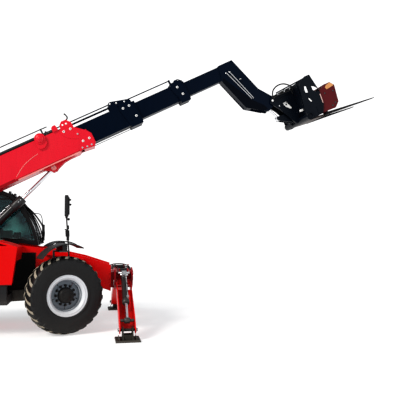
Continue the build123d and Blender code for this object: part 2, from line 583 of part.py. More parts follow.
# ---------------------------------------------------------------- boom nose
TILT_PIVOT = (3800, 4130)
TILT_BASE = (3180, 4500)
TILT_EYE = (3965, 3815)
NOSE_PLATE = 16
tube_half_h, tube_half_w = SECTIONS[-1][1:3]
NOSE_HALF_W = tube_half_w + NOSE_PLATE
nose_outline = outline_xz([
    (7045, 150), (7337, 150), (7572, -550), (7800, -846), (7838, -880), (7800, -940), (7560, -1030),
    (7210, -800), (6978, -tube_half_h), (7000, -60),
])
nose = prism(nose_outline, -NOSE_HALF_W, NOSE_HALF_W)
nose_core = outline_xz([
    (6900, tube_half_h), (7326, tube_half_h), (7553, -543), (7783, -846), (7900, -900), (7560, -1100),
    (7330, -900), (7226, -792), (6996, -tube_half_h), (6900, -tube_half_h),
])
nose -= prism(nose_core, -tube_half_w, tube_half_w)
nose = boom_place * nose
tilt_pin = 24
nose += cross_pin(*TILT_BASE, tilt_pin, -NOSE_HALF_W - 12, NOSE_HALF_W + 12)
pivot_pin = 30
nose += cross_pin(*TILT_PIVOT, pivot_pin, -NOSE_HALF_W - 50, NOSE_HALF_W + 50)
parts["boom_nose"] = nose


# ---------------------------------------------------------------- fork carriage
# drawn from the tilt pivot: x runs along the forks, z square to them
carriage_place = Location((TILT_PIVOT[0], 0, TILT_PIVOT[1]), (0, -FORK_ANGLE, 0))
HEEL_T, HEEL_H = 668, -586
half = CARRIAGE_HALF_WIDTH
TILT_EAR = 52             # inner faces of the ears that hold the tilt cylinder's rod
ear_in = NOSE_HALF_W + 6
ears = prism(outline_xz([(-60, -40), (-20, 62), (60, 70), (470, 120), (470, -500), (330, -560), (90, -200)]),
             ear_in, ear_in + 34)
ears -= prism(outline_xz([(172, -96), (262, -84), (345, -232), (312, -258), (214, -184)]), ear_in - 1, ear_in + 35)
ears -= cross_pin(0, 0, pivot_pin + FIT, 0, 400)
carriage = both_sides(ears)
side = prism(outline_xz([(464, 158), (560, 205), (656, 213), (757, -129), (757, -380), (700, -535), (500, -590),
                         (400, -590), (372, -440), (400, 60)]), half - 22, half)
side -= prism(outline_xz([(492, 32), (532, 22), (536, -98), (484, -92), (478, -34)]), half - 23, half + 1)
side -= prism(outline_xz([(626, 2), (682, -22), (760, -92), (760, -136), (724, -133), (673, -118), (631, -76)]),
              half - 23, half + 1)
carriage += both_sides(side)
for t, h, size in ((445, 130, 50), (445, -120, 50)):
    carriage += block(t, t + size, -half, half, h - size / 2, h + size / 2)
lower_tube = (428, -525)
carriage += tube((lower_tube[0], -half - 12, lower_tube[1]), (lower_tube[0], half + 12, lower_tube[1]), 62, 46)
for y in (-half + 200, half - 200):
    carriage += block(455, 480, y - 30, y + 30, -520, 120)
carriage += block(450, 458, -half + 21, half - 21, -145, 115)
slope = radians(FORK_ANGLE)
eye_x, eye_z = TILT_EYE[0] - TILT_PIVOT[0], TILT_EYE[1] - TILT_PIVOT[1]
eye_t = eye_x * cos(slope) + eye_z * sin(slope)
eye_h = eye_z * cos(slope) - eye_x * sin(slope)
bracket = prism(outline_xz([(eye_t - 45, eye_h + 40), (eye_t - 30, eye_h - 40), (372, -540), (470, -540), (470, -300)]),
                TILT_EAR, TILT_EAR + 22)
carriage += both_sides(bracket)
carriage += block(395, 470, -74, 74, -560, -330)
parts["carriage"] = carriage_place * carriage

frame_side = prism(outline_xz([(690, -534), (980, -514), (1066, -419), (1084, -99), (1006, -24), (930, -34), (770, -122)]),
                   half - 60, half - 22 - SLIDE_GAP)
fork_frame = both_sides(frame_side)
fork_frame += block(765, 790, -half + 60, half - 60, -240, -130)
fork_frame += block(765, 790, -half + 60, half - 60, -534, -440)
fork_bar = (830, -110)    # the forks hang on this round bar
BAR_RADIUS = 26
fork_frame += cross_pin(*fork_bar, BAR_RADIUS, -half + 58, half - 58)
fork_frame += slab_xz([(905, -60), (1078, -125), (1086, -99), (915, -30)], -half + 36, half - 36)
fork_frame += block(757, 772, -half + 36, half - 36, -534, -130)
parts["fork_frame"] = carriage_place * fork_frame

# hose that arches from beside the tilt pivot to the carriage's upper beam
HOSE_RADIUS, HOSE_BEND = 11, 90
hose_y = -ear_in - 34 - HOSE_RADIUS - SLIDE_GAP
hose_line = [(20, hose_y, 34), (22, hose_y, 110), (90, -150, 215), (230, -140, 265), (370, -135, 240),
             (455, -130, 155 + 0.76 * HOSE_RADIUS)]   # its sloping end meets the beam at an edge
parts["carriage_hose"] = carriage_place * pipe_along(hose_line, HOSE_RADIUS, HOSE_BEND)

forks = []
for y in (-FORK_Y, FORK_Y):
    blade = slab_xz([(HEEL_T + 130, HEEL_H), (HEEL_T + FORK_LENGTH, HEEL_H + 36), (HEEL_T + FORK_LENGTH, HEEL_H + 50),
                     (HEEL_T + 180, HEEL_H + FORK_THICKNESS), (HEEL_T + 180, -150), (HEEL_T + 195, -70),
                     (HEEL_T + 130, -70)], y - FORK_WIDTH / 2, y + FORK_WIDTH / 2)
    forks.append(carriage_place * (blade - cross_pin(*fork_bar, BAR_RADIUS + SLIDE_GAP, y - 80, y + 80)))
parts["forks"] = forks


# ---------------------------------------------------------------- cylinders
def cylinder_pair(base, eye, barrel_length, barrel_radius, rod_radius, pin_radius, half_eye, pin_half, bored_end):
    """Barrel and rod between two pins, drawn in x-z with pins along y; returns both solids.

    The eye at bored_end turns on a pin of the part that carries it; the other end has a pin of its own.
    """
    length = hypot(eye[0] - base[0], eye[1] - base[1])
    eye_radius = pin_radius * 2
    base_half = barrel_radius + 4
    barrel = rod((eye_radius, 0, 0), (barrel_length, 0, 0), barrel_radius)
    barrel += cross_pin(0, 0, eye_radius * 1.1, -base_half, base_half)
    barrel += block(0, eye_radius + 20, -base_half, base_half, -eye_radius, eye_radius)
    bore_start = eye_radius * 1.1 + 40
    barrel -= rod((bore_start, 0, 0), (barrel_length - 70, 0, 0), barrel_radius * 0.82)
    barrel -= rod((bore_start, 0, 0), (barrel_length + 1, 0, 0), rod_radius + FIT)
    piston_x = max(bore_start + 20, length - barrel_length + bore_start + 30)
    stem = rod((length - eye_radius * 0.9, 0, 0), (piston_x, 0, 0), rod_radius)
    stem += cross_pin(length, 0, eye_radius, -half_eye + 2, half_eye - 2)
    if bored_end == "base":
        barrel -= cross_pin(0, 0, pin_radius + FIT, -base_half - 1, base_half + 1)
        stem += cross_pin(length, 0, pin_radius, -pin_half, pin_half)
    else:
        stem -= cross_pin(length, 0, pin_radius + FIT, -half_eye, half_eye)
        barrel += cross_pin(0, 0, pin_radius, -pin_half, pin_half)
    turn = degrees(atan2(eye[1] - base[1], eye[0] - base[0]))
    place = Location((base[0], 0, base[1]), (0, -turn, 0))
    return place * barrel, place * stem


parts["lift_barrel"], parts["lift_rod"] = cylinder_pair(
    lift_base, lift_eye, LIFT_BARREL, LIFT_BARREL_RADIUS, LIFT_ROD_RADIUS, LIFT_PIN_RADIUS, LIFT_EYE_HALF,
    lift_ear - SLIDE_GAP, "eye")
TILT_BARREL = 560
parts["tilt_barrel"], parts["tilt_rod"] = cylinder_pair(
    TILT_BASE, TILT_EYE, TILT_BARREL, 46, 22, tilt_pin, 44, TILT_EAR - SLIDE_GAP, "base")

# ---------------------------------------------------------------- stabilisers, drawn on the left in y-z
LEG_PIVOT = (480, 760)
LEG_CYLINDER_BASE = (520, 955)
ROD_PIN_S, ROD_PIN_N = 1220, 60
leg_dy, leg_dz = FOOT_Y - LEG_PIVOT[0], FOOT_PIN_Z - LEG_PIVOT[1]
leg_length = hypot(leg_dy, leg_dz)
leg_angle = degrees(atan2(leg_dz, leg_dy))


def leg_point(s, n):
    a = radians(leg_angle)
    return LEG_PIVOT[0] + s * cos(a) - n * sin(a), LEG_PIVOT[1] + s * sin(a) + n * cos(a)


leg_eye = leg_point(ROD_PIN_S, ROD_PIN_N)
HOUSING_PLATE = 22
housing_rear, front_inner = NOSE_X, LEG_X + LEG_HALF_WIDTH + LEG_SIDE_GAP
housing_front = front_inner + HOUSING_PLATE
rear_inner = LEG_X - LEG_HALF_WIDTH - LEG_SIDE_GAP
ear_profile = [(0, 640), (430, 640), (600, 720), (610, 900), (560, 990), (470, 1020), (330, 940), (0, 940)]
housing = slab_yz(ear_profile, rear_inner - HOUSING_PLATE, rear_inner)
housing += slab_yz(ear_profile, front_inner, housing_front)
housing += block(housing_rear, front_inner + 1, 0, 330, 660, 930)
housing += rod((rear_inner - 1, *LEG_PIVOT), (front_inner + 1, *LEG_PIVOT), 30)
cylinder_ear_in = LEG_BARREL_RADIUS + 4 + 2
cylinder_ear_out = cylinder_ear_in + 24
for sign in (-1, 1):
    x_ends = sorted((LEG_X + sign * cylinder_ear_in, LEG_X + sign * cylinder_ear_out))
    housing += slab_yz([(329, 860), (329, 930), (500, 1005), (560, 1000), (575, 955), (545, 905), (470, 895),
                        (400, 860)], *x_ends)
housing += rod((LEG_X - cylinder_ear_out + 2, *LEG_CYLINDER_BASE), (LEG_X + cylinder_ear_out - 2, *LEG_CYLINDER_BASE), 22)
parts["stabiliser_housing"] = both_sides(housing)

flange = [(-70, -60), (-50, 45), (10, 62), (300, 92), (1150, 100), (1330, 70), (leg_length + 45, 30),
          (leg_length + 45, -40), (1330, -92), (120, -92)]
leg_place = Location((LEG_X, LEG_PIVOT[0], LEG_PIVOT[1]), (0, 0, 90)) * Location((0, 0, 0), (0, -leg_angle, 0))
leg = prism(outline_xz(flange), LEG_HALF_WIDTH - 15, LEG_HALF_WIDTH)
leg += prism(outline_xz(flange), -LEG_HALF_WIDTH, -LEG_HALF_WIDTH + 15)
leg += block(120, 1280, -LEG_HALF_WIDTH, LEG_HALF_WIDTH, -92, -77)
leg += cross_pin(0, 0, 52, -LEG_HALF_WIDTH, LEG_HALF_WIDTH)
leg -= cross_pin(0, 0, 30 + FIT, -LEG_HALF_WIDTH - 1, LEG_HALF_WIDTH + 1)
leg -= cross_pin(leg_length, 0, 22 + FIT, -LEG_HALF_WIDTH - 1, LEG_HALF_WIDTH + 1)
leg = leg_place * leg

foot_half = FOOT_SIZE / 2
foot = block(-foot_half, foot_half, -foot_half, foot_half, 0, 26)
foot_ear = [(-120, 20), (120, 20), (46, FOOT_PIN_Z + 44), (-46, FOOT_PIN_Z + 44)]
foot += slab_yz(foot_ear, -84, -62)
foot += slab_yz(foot_ear, 62, 84)
foot += block(-63, 63, -88, -72, 20, 100) + block(-63, 63, 72, 88, 20, 100)
foot += rod((-LEG_HALF_WIDTH - 20, 0, FOOT_PIN_Z), (LEG_HALF_WIDTH + 20, 0, FOOT_PIN_Z), 22)
foot = Location((LEG_X, FOOT_Y, 0)) * foot

barrel, stem = cylinder_pair(LEG_CYLINDER_BASE, leg_eye, LEG_BARREL, LEG_BARREL_RADIUS, LEG_ROD_RADIUS, 22, 44,
                             LEG_HALF_WIDTH - 15 - SLIDE_GAP, "base")
turn_to_y = Location((LEG_X, 0, 0), (0, 0, 90))
barrel, stem = turn_to_y * barrel, turn_to_y * stem
for name, shape in (("stabiliser_leg", leg), ("leg_barrel", barrel), ("leg_rod", stem), ("stabiliser_foot", foot)):
    parts[f"{name}_left"] = shape
    parts[f"{name}_right"] = mirror(shape, Plane.XZ)

# ---------------------------------------------------------------- place on the origin and write
def solids_of(shape):
    if isinstance(shape, list):
        return [solid for item in shape for solid in item.solids()]
    return list(shape.solids())


boxes = [Compound(children=solids_of(shape)).bounding_box() for shape in parts.values()]
low_x, high_x = min(b.min.X for b in boxes), max(b.max.X for b in boxes)
SHIFT_X = -(low_x + high_x) / 2
shift = Location((SHIFT_X, 0, 0))

os.makedirs("parts", exist_ok=True)
for node, shape in parts.items():
    solids = [shift * solid for solid in solids_of(shape)]
    whole = solids[0] if len(solids) == 1 else Compound(children=solids)
    export_step(whole, f"parts/{node}.step")
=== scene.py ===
import json
import math

import bmesh
import bpy
from mathutils import Matrix, Vector

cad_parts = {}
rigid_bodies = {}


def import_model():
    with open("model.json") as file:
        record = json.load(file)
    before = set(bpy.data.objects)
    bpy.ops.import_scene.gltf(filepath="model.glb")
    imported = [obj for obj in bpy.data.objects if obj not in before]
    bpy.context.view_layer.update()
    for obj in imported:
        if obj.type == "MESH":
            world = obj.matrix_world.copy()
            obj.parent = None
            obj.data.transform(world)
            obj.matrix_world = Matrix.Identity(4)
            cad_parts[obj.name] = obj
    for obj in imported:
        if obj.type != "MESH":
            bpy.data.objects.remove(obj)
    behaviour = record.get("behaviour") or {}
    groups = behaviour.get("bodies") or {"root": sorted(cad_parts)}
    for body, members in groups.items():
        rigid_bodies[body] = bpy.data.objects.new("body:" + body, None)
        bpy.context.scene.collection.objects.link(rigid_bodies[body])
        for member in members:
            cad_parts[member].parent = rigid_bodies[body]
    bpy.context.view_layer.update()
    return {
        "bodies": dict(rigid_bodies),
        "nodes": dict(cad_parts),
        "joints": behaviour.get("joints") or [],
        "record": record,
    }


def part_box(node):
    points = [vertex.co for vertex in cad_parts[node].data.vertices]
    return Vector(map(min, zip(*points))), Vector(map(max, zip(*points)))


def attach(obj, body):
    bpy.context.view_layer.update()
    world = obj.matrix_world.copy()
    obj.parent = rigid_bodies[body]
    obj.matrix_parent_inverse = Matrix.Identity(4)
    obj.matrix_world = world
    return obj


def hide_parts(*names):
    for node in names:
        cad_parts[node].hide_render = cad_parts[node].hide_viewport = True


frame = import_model()
nodes = frame["nodes"]
scene = bpy.context.scene

# ---------------------------------------------------------------- studio
# A pale seamless floor under the standing machine, a large soft key from high behind on its right
# and a wide fill from the front right, as in a sales catalogue.
COUNTERWEIGHT_END = -4.15
front_right_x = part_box("counterweight")[0][0] - COUNTERWEIGHT_END


def at(x, y, z):
    """A point from the ground under the right front wheel: forward, left of the middle and up, in metres."""
    return Vector((front_right_x + x, y, z))


def add_node(tree, kind, **values):
    """A node with settings and input values by name; a low line stands for a space in an input's name."""
    node = tree.nodes.new(kind)
    for key, value in values.items():
        if hasattr(node, key):
            setattr(node, key, value)
        else:
            node.inputs[key.replace("_", " ")].default_value = value
    return node


def wire(tree, *pairs):
    """Links from outputs to inputs."""
    for start, end in pairs:
        tree.links.new(start, end)


def new_material(name):
    """A material, its node tree and its shader."""
    material = bpy.data.materials.new(name)
    material.use_nodes = True
    return material, material.node_tree, material.node_tree.nodes["Principled BSDF"]


FLOOR_REACH, FLOOR_GREY = 90, (0.93, 0.93, 0.93)
floor_material, tree, shader = new_material("studio_floor")
shader.inputs["Roughness"].default_value = 0.8
shader.inputs["Specular IOR Level"].default_value = 0.2
noise = add_node(tree, "ShaderNodeTexNoise", Scale=0.6)
ramp = add_node(tree, "ShaderNodeValToRGB")
ramp.color_ramp.elements[0].color = [c * 0.985 for c in FLOOR_GREY] + [1]
ramp.color_ramp.elements[1].color = list(FLOOR_GREY) + [1]
# lit from within more and more away from the machine, so that no edge shows against the backdrop
place = add_node(tree, "ShaderNodeTexCoord")
distance = add_node(tree, "ShaderNodeVectorMath", operation="LENGTH")
fade = add_node(tree, "ShaderNodeMapRange", From_Min=2.0, From_Max=13.0, To_Min=0.4, To_Max=1.0)
glow = add_node(tree, "ShaderNodeEmission")
blend = add_node(tree, "ShaderNodeMixShader")
wire(tree, (noise.outputs["Fac"], ramp.inputs["Fac"]), (ramp.outputs["Color"], shader.inputs["Base Color"]),
     (place.outputs["Object"], distance.inputs[0]), (distance.outputs["Value"], fade.inputs["Value"]),
     (fade.outputs["Result"], blend.inputs[0]), (shader.outputs[0], blend.inputs[1]),
     (glow.outputs[0], blend.inputs[2]), (blend.outputs[0], tree.nodes["Material Output"].inputs["Surface"]))
floor_mesh = bpy.data.meshes.new("floor")
corners = [(x * FLOOR_REACH, y * FLOOR_REACH, 0) for x, y in ((-1, -1), (1, -1), (1, 1), (-1, 1))]
floor_mesh.from_pydata(corners, [], [(0, 1, 2, 3)])
floor = bpy.data.objects.new("floor", floor_mesh)
scene.collection.objects.link(floor)
floor_mesh.materials.append(floor_material)

world = bpy.data.worlds.new("studio")
scene.world = world
world.use_nodes = True
tree = world.node_tree
surround = tree.nodes["Background"]
surround.inputs["Color"].default_value = (0.93, 0.96, 1.0, 1)
surround.inputs["Strength"].default_value = 0.55
backdrop = add_node(tree, "ShaderNodeBackground", Color=(1.0, 1.0, 1.0, 1))
seen = add_node(tree, "ShaderNodeLightPath")
choose = add_node(tree, "ShaderNodeMixShader")
wire(tree, (seen.outputs["Is Camera Ray"], choose.inputs[0]), (surround.outputs[0], choose.inputs[1]),
     (backdrop.outputs[0], choose.inputs[2]), (choose.outputs[0],
                                               tree.nodes["World Output"].inputs["Surface"]))


def light(name, kind, power, place, aim):
    """A light that shines along a direction."""
    lamp = bpy.data.objects.new(name, bpy.data.lights.new(name, kind))
    lamp.data.energy = power
    scene.collection.objects.link(lamp)
    lamp.location = place
    lamp.rotation_euler = Vector(aim).to_track_quat("-Z", "Y").to_euler()
    return lamp.data


sun = light("key", "SUN", 2.9, (0, 0, 0), (13, 9, -11))
sun.angle = math.radians(22)
sun.color = (1.0, 0.97, 0.92)
fill = light("fill", "AREA", 250, (8, -14, 6), (-8, 14, -4))
fill.shape = "RECTANGLE"
fill.size, fill.size_y = 8, 6

FILM, LENS = 36, 51.48   # width of the film and focal length, in millimetres
camera_data = bpy.data.cameras.new("camera")
camera_data.sensor_width = FILM
camera_data.lens = LENS
camera_data.clip_end = 400
camera = bpy.data.objects.new("camera", camera_data)
scene.collection.objects.link(camera)
camera.location = at(0.392, -10.51, 1.7)
camera.rotation_euler = (math.radians(90 + 2.8), 0, math.radians(-10.9))
scene.camera = camera
scene.view_settings.view_transform = "Standard"
scene.view_settings.look = "Medium High Contrast"


# ---------------------------------------------------------------- painted chassis
# Welded plate frame, counterweight and covers in gloss enamel: sprayed red over primer, with a fine
# grain, faint rain streaks and dust low down. Tanks and feet are black, castings grey.
MIX_FACTOR, MIX_A, MIX_B, MIX_RESULT = 0, 6, 7, 2   # colour sockets of a Mix node


def weathering_group():
    """Dust low down and in drifts, faint streaks and a fine grain: gives colour, roughness and relief."""
    tree = bpy.data.node_groups.new("weathering", "ShaderNodeTree")
    face = tree.interface
    for name, kind, value in (
        ("Paint", "NodeSocketColor", (0.5, 0.5, 0.5, 1)), ("Dust Colour", "NodeSocketColor",
                                                           (0.3, 0.25, 0.19, 1)),
        ("Dust", "NodeSocketFloat", 0.4), ("Dust Height", "NodeSocketFloat", 0.9),
        ("Shade", "NodeSocketFloat", 0.12), ("Base Roughness", "NodeSocketFloat", 0.3),
        ("Grain Scale", "NodeSocketFloat", 60.0),
    ):
        face.new_socket(name, in_out="INPUT", socket_type=kind).default_value = value
    for name, kind in (("Colour", "NodeSocketColor"), ("Roughness", "NodeSocketFloat"),
                       ("Relief", "NodeSocketFloat")):
        face.new_socket(name, in_out="OUTPUT", socket_type=kind)
    link = tree.links.new
    given, out = add_node(tree, "NodeGroupInput"), add_node(tree, "NodeGroupOutput")
    place = add_node(tree, "ShaderNodeTexCoord")
    parts = add_node(tree, "ShaderNodeSeparateXYZ")
    broad = add_node(tree, "ShaderNodeTexNoise", Scale=1.3, Detail=5.0)
    fine = add_node(tree, "ShaderNodeTexNoise", Detail=6.0)
    streak_place = add_node(tree, "ShaderNodeMapping", Scale=(9, 9, 0.8))
    streak = add_node(tree, "ShaderNodeTexNoise", Scale=2.0, Detail=4.0)
    for node in (parts, broad, fine, streak_place):
        link(place.outputs["Object"], node.inputs["Vector"])
    link(streak_place.outputs["Vector"], streak.inputs["Vector"])
    link(given.outputs["Grain Scale"], fine.inputs["Scale"])

    def calc(operation, a, b, clamp=False):
        node = add_node(tree, "ShaderNodeMath", operation=operation, use_clamp=clamp)
        for socket, value in zip(node.inputs, (a, b)):
            if isinstance(value, (int, float)):
                socket.default_value = value
            else:
                link(value, socket)
        return node.outputs[0]

    height = calc("DIVIDE", parts.outputs["Z"], given.outputs["Dust Height"])
    fall = calc("SUBTRACT", 1.0, height, clamp=True)
    drift = calc("MULTIPLY", fall, calc("ADD", broad.outputs["Fac"], streak.outputs["Fac"]))
    thin = calc("MULTIPLY", calc("SUBTRACT", broad.outputs["Fac"], 0.52, clamp=True), 0.9)
    cover = calc("MULTIPLY", calc("ADD", drift, thin), given.outputs["Dust"], clamp=True)
    shaded = add_node(tree, "ShaderNodeMix", data_type="RGBA", blend_type="MULTIPLY")
    darker = calc("SUBTRACT", 1.0, calc("MULTIPLY", streak.outputs["Fac"], given.outputs["Shade"]))
    grey = add_node(tree, "ShaderNodeCombineColor")
    for socket in grey.inputs:
        link(darker, socket)
    shaded.inputs[MIX_FACTOR].default_value = 1.0
    dusty = add_node(tree, "ShaderNodeMix", data_type="RGBA")
    rough = calc("ADD", given.outputs["Base Roughness"], calc("MULTIPLY", cover, 0.5))
    rough = calc("ADD", rough, calc("MULTIPLY", calc("SUBTRACT", fine.outputs["Fac"], 0.5), 0.12), clamp=True)
    wire(tree, (given.outputs["Paint"], shaded.inputs[MIX_A]), (grey.outputs[0], shaded.inputs[MIX_B]),
         (cover, dusty.inputs[MIX_FACTOR]), (shaded.outputs[MIX_RESULT], dusty.inputs[MIX_A]),
         (given.outputs["Dust Colour"], dusty.inputs[MIX_B]),
         (dusty.outputs[MIX_RESULT], out.inputs["Colour"]),
         (rough, out.inputs["Roughness"]), (fine.outputs["Fac"], out.inputs["Relief"]))
    return tree


weathering = weathering_group()


def finish(name, colour, roughness=0.3, metal=0.0, coat=0.0, dust=0.4, dust_height=0.9, shade=0.12,
           grain=60.0, relief=0.1, specular=0.5):
    """A weathered surface of one paint, rubber, plastic or metal."""
    material, tree, shader = new_material(name)
    for key, value in (("Metallic", metal), ("Coat Weight", coat), ("Coat Roughness", 0.08),
                       ("Specular IOR Level", specular)):
        shader.inputs[key].default_value = value
    wear = add_node(tree, "ShaderNodeGroup", node_tree=weathering)
    wear.inputs["Paint"].default_value = (*colour, 1)
    for key, value in (("Dust", dust), ("Dust Height", dust_height), ("Shade", shade),
                       ("Base Roughness", roughness), ("Grain Scale", grain)):
        wear.inputs[key].default_value = value
    bump = add_node(tree, "ShaderNodeBump", Strength=relief, Distance=0.002)
    wire(tree, (wear.outputs["Colour"], shader.inputs["Base Color"]),
         (wear.outputs["Roughness"], shader.inputs["Roughness"]),
         (wear.outputs["Relief"], bump.inputs["Height"]),
         (bump.outputs["Normal"], shader.inputs["Normal"]))
    return material


def painted(mesh, material):
    """The mesh with one material."""
    mesh.materials.clear()
    mesh.materials.append(material)
    return mesh


def paint_nodes(material, *names):
    """One material on CAD parts given by name."""
    for name in names:
        painted(nodes[name].data, material)


chassis_red = finish("chassis_red_enamel", (0.62, 0.0004, 0.0008), roughness=0.3, dust=0.05, dust_height=0.5,
                     shade=0.15, specular=0.12)
chassis_black = finish("chassis_black_enamel", (0.01, 0.01, 0.011), roughness=0.42, dust=0.15,
                       dust_height=0.7, specular=0.25)
axle_casting = finish("axle_casting_grey", (0.028, 0.03, 0.033), roughness=0.55, dust=0.7, grain=150,
                      relief=0.4)
engine_casting = finish("engine_casting", (0.03, 0.03, 0.032), roughness=0.6, dust=0.4, grain=120, relief=0.5)
# the stabiliser housing is painted a darker red than the frame: painted shade
housing_shaded_red = finish("housing_red_painted_shade", (0.26, 0.002, 0.006), roughness=0.36, dust=0.08, dust_height=0.6,
                     specular=0.15)
paint_nodes(housing_shaded_red, "stabiliser_housing")
paint_nodes(chassis_red, "chassis_frame", "counterweight", "engine_hood",
            "stabiliser_leg_left", "stabiliser_leg_right")
paint_nodes(chassis_black, "fuel_tank", "hydraulic_tank_steps")
paint_nodes(axle_casting, "front_axle", "rear_axle",
            *("knuckle_" + corner for corner in ("front_right", "front_left", "rear_right", "rear_left")))
paint_nodes(engine_casting, "engine_block")

# ---------------------------------------------------------------- tyres
# Off-road radial tyres, 1.25 m across: a moulded carcass with a crowned tread, and deep bars that
# run from the middle over the shoulder, left and right bars half a pitch apart.
TYRE_RADIUS, TREAD_DEPTH = 0.625, 0.036
BARS_EACH_SIDE = 26
FRONT_AXLE, REAR_AXLE = -0.08, -3.15
WHEELS = (
    # corner, axle x, side, steering angle
    ("front_right", FRONT_AXLE, -1, 20), ("front_left", FRONT_AXLE, 1, 20),
    ("rear_right", REAR_AXLE, -1, 0), ("rear_left", REAR_AXLE, 1, 0),
)
KINGPIN_Y, WHEEL_OUT = 0.78, 0.23


def new_piece(name, data):
    """A mesh or a curve as an object in the scene."""
    piece = bpy.data.objects.new(name, data)
    scene.collection.objects.link(piece)
    return piece


def mesh_from(name, points, faces, smooth=False):
    """A mesh with doubles merged and its faces turned outwards."""
    mesh = bpy.data.meshes.new(name)
    mesh.from_pydata([tuple(p) for p in points], [], faces)
    work = bmesh.new()
    work.from_mesh(mesh)
    bmesh.ops.remove_doubles(work, verts=work.verts, dist=1e-6)
    bmesh.ops.recalc_face_normals(work, faces=work.faces)
    work.to_mesh(mesh)
    work.free()
    for polygon in mesh.polygons:
        polygon.use_smooth = smooth
    return mesh


def moved(mesh, place, angle=0, axis="Z", mirror=False):
    """The mesh mirrored across y = 0 if asked, turned by an angle in degrees, and set in its place."""
    flip = Matrix.Diagonal((1, -1 if mirror else 1, 1, 1))
    mesh.transform(Matrix.Translation(place) @ Matrix.Rotation(math.radians(angle), 4, axis) @ flip)
    if mirror:
        mesh.flip_normals()
    return mesh


def evaluated(piece):
    """The piece's geometry after its modifiers, as a mesh; the piece itself goes."""
    bpy.context.view_layer.update()
    mesh = bpy.data.meshes.new_from_object(piece.evaluated_get(bpy.context.evaluated_depsgraph_get()))
    bpy.data.objects.remove(piece)
    return mesh


def bevelled(mesh, width, segments=2):
    """The mesh with its sharp edges rounded."""
    work = bmesh.new()
    work.from_mesh(mesh)
    edges = [e for e in work.edges if len(e.link_faces) == 2 and e.calc_face_angle(0) > 0.5]
    bmesh.ops.bevel(work, geom=edges, offset=width, segments=segments, affect="EDGES", profile=0.6,
                    clamp_overlap=True)
    work.to_mesh(mesh)
    work.free()
    return mesh


def lathe(name, profile, segments=96):
    """A solid of revolution about y: profile is (y, radius) pairs."""
    points, faces = [], []
    count = len(profile)
    for step in range(segments):
        angle = 2 * math.pi * step / segments
        points += [(r * math.cos(angle), y, r * math.sin(angle)) for y, r in profile]
    for step in range(segments):
        here, there = step * count, (step + 1) % segments * count
        faces += [(here + k, here + k + 1, there + k + 1, there + k) for k in range(count - 1)]
    return mesh_from(name, points, faces, smooth=True)


def copies_tree(name, ring):
    """Copies of the input geometry, turned about y and evenly spaced in a ring, or in a straight row."""
    tree = bpy.data.node_groups.new(name, "GeometryNodeTree")
    for socket, kind in (("Geometry", "Geometry"), ("Count", "Int"), ("Step", "Vector"),
                         ("Surface", "Material")):
        tree.interface.new_socket(socket, in_out="INPUT", socket_type="NodeSocket" + kind)
    tree.interface.new_socket("Geometry", in_out="OUTPUT", socket_type="NodeSocketGeometry")
    given, out, line, copies, real, surface = (add_node(tree, kind) for kind in (
        "NodeGroupInput", "NodeGroupOutput", "GeometryNodeMeshLine", "GeometryNodeInstanceOnPoints",
        "GeometryNodeRealizeInstances", "GeometryNodeSetMaterial"))
    wire(tree, (given.outputs["Count"], line.inputs["Count"]), (given.outputs["Step"], line.inputs["Offset"]),
         (line.outputs["Mesh"], copies.inputs["Points"]), (given.outputs["Geometry"],
                                                           copies.inputs["Instance"]),
         (copies.outputs[0], real.inputs[0]), (real.outputs[0], surface.inputs["Geometry"]),
         (given.outputs["Surface"], surface.inputs["Material"]), (surface.outputs[0], out.inputs[0]))
    if ring:
        index, angles = add_node(tree, "GeometryNodeInputIndex"), add_node(tree, "ShaderNodeCombineXYZ")
        share = add_node(tree, "ShaderNodeMath", operation="DIVIDE")
        turn = add_node(tree, "ShaderNodeMath", operation="MULTIPLY")
        turn.inputs[1].default_value = 2 * math.pi
        wire(tree, (index.outputs[0], share.inputs[0]), (given.outputs["Count"], share.inputs[1]),
             (share.outputs[0], turn.inputs[0]), (turn.outputs[0], angles.inputs["Y"]),
             (angles.outputs[0], copies.inputs["Rotation"]))
    return tree


def grown(name, mesh, tree, **values):
    """The mesh after a node tree, as a plain mesh; values go to the tree's inputs by name."""
    piece = new_piece(name, mesh)
    modifier = piece.modifiers.new("grow", "NODES")
    modifier.node_group = tree
    sockets = {item.name: item.identifier for item in tree.interface.items_tree if item.in_out == "INPUT"}
    for key, value in values.items():
        modifier[sockets[key]] = value
    result = evaluated(piece)
    result.name = name
    return result


def joined(name, meshes):
    """Several meshes as one, keeping their materials."""
    work = bmesh.new()
    materials = []
    for mesh in meshes:
        offsets = []
        for material in mesh.materials:
            if material not in materials:
                materials.append(material)
            offsets.append(materials.index(material))
        before = len(work.faces)
        work.from_mesh(mesh)
        work.faces.ensure_lookup_table()
        for face in work.faces[before:]:
            face.material_index = offsets[face.material_index] if offsets else 0
    result = bpy.data.meshes.new(name)
    work.to_mesh(result)
    work.free()
    for material in materials:
        result.materials.append(material)
    return result


ring_of_copies = copies_tree("ring_of_copies", True)
row_of_copies = copies_tree("row_of_copies", False)
tyre_rubber = finish("tyre_rubber", (0.005, 0.005, 0.0053), roughness=0.5, dust=0.03, dust_height=0.4,
                     grain=220, relief=0.4, specular=0.3)
tread_dust_and_highlight = finish("tread_dust_and_highlight", (0.25, 0.23, 0.18), roughness=0.75, dust=0.55, dust_height=2.4,
                      grain=160, relief=0.7, specular=0.2)


def crown(y):
    """The running surface's radius at a distance from the tyre's middle."""
    return TYRE_RADIUS - 0.03 * (y / 0.18) ** 2


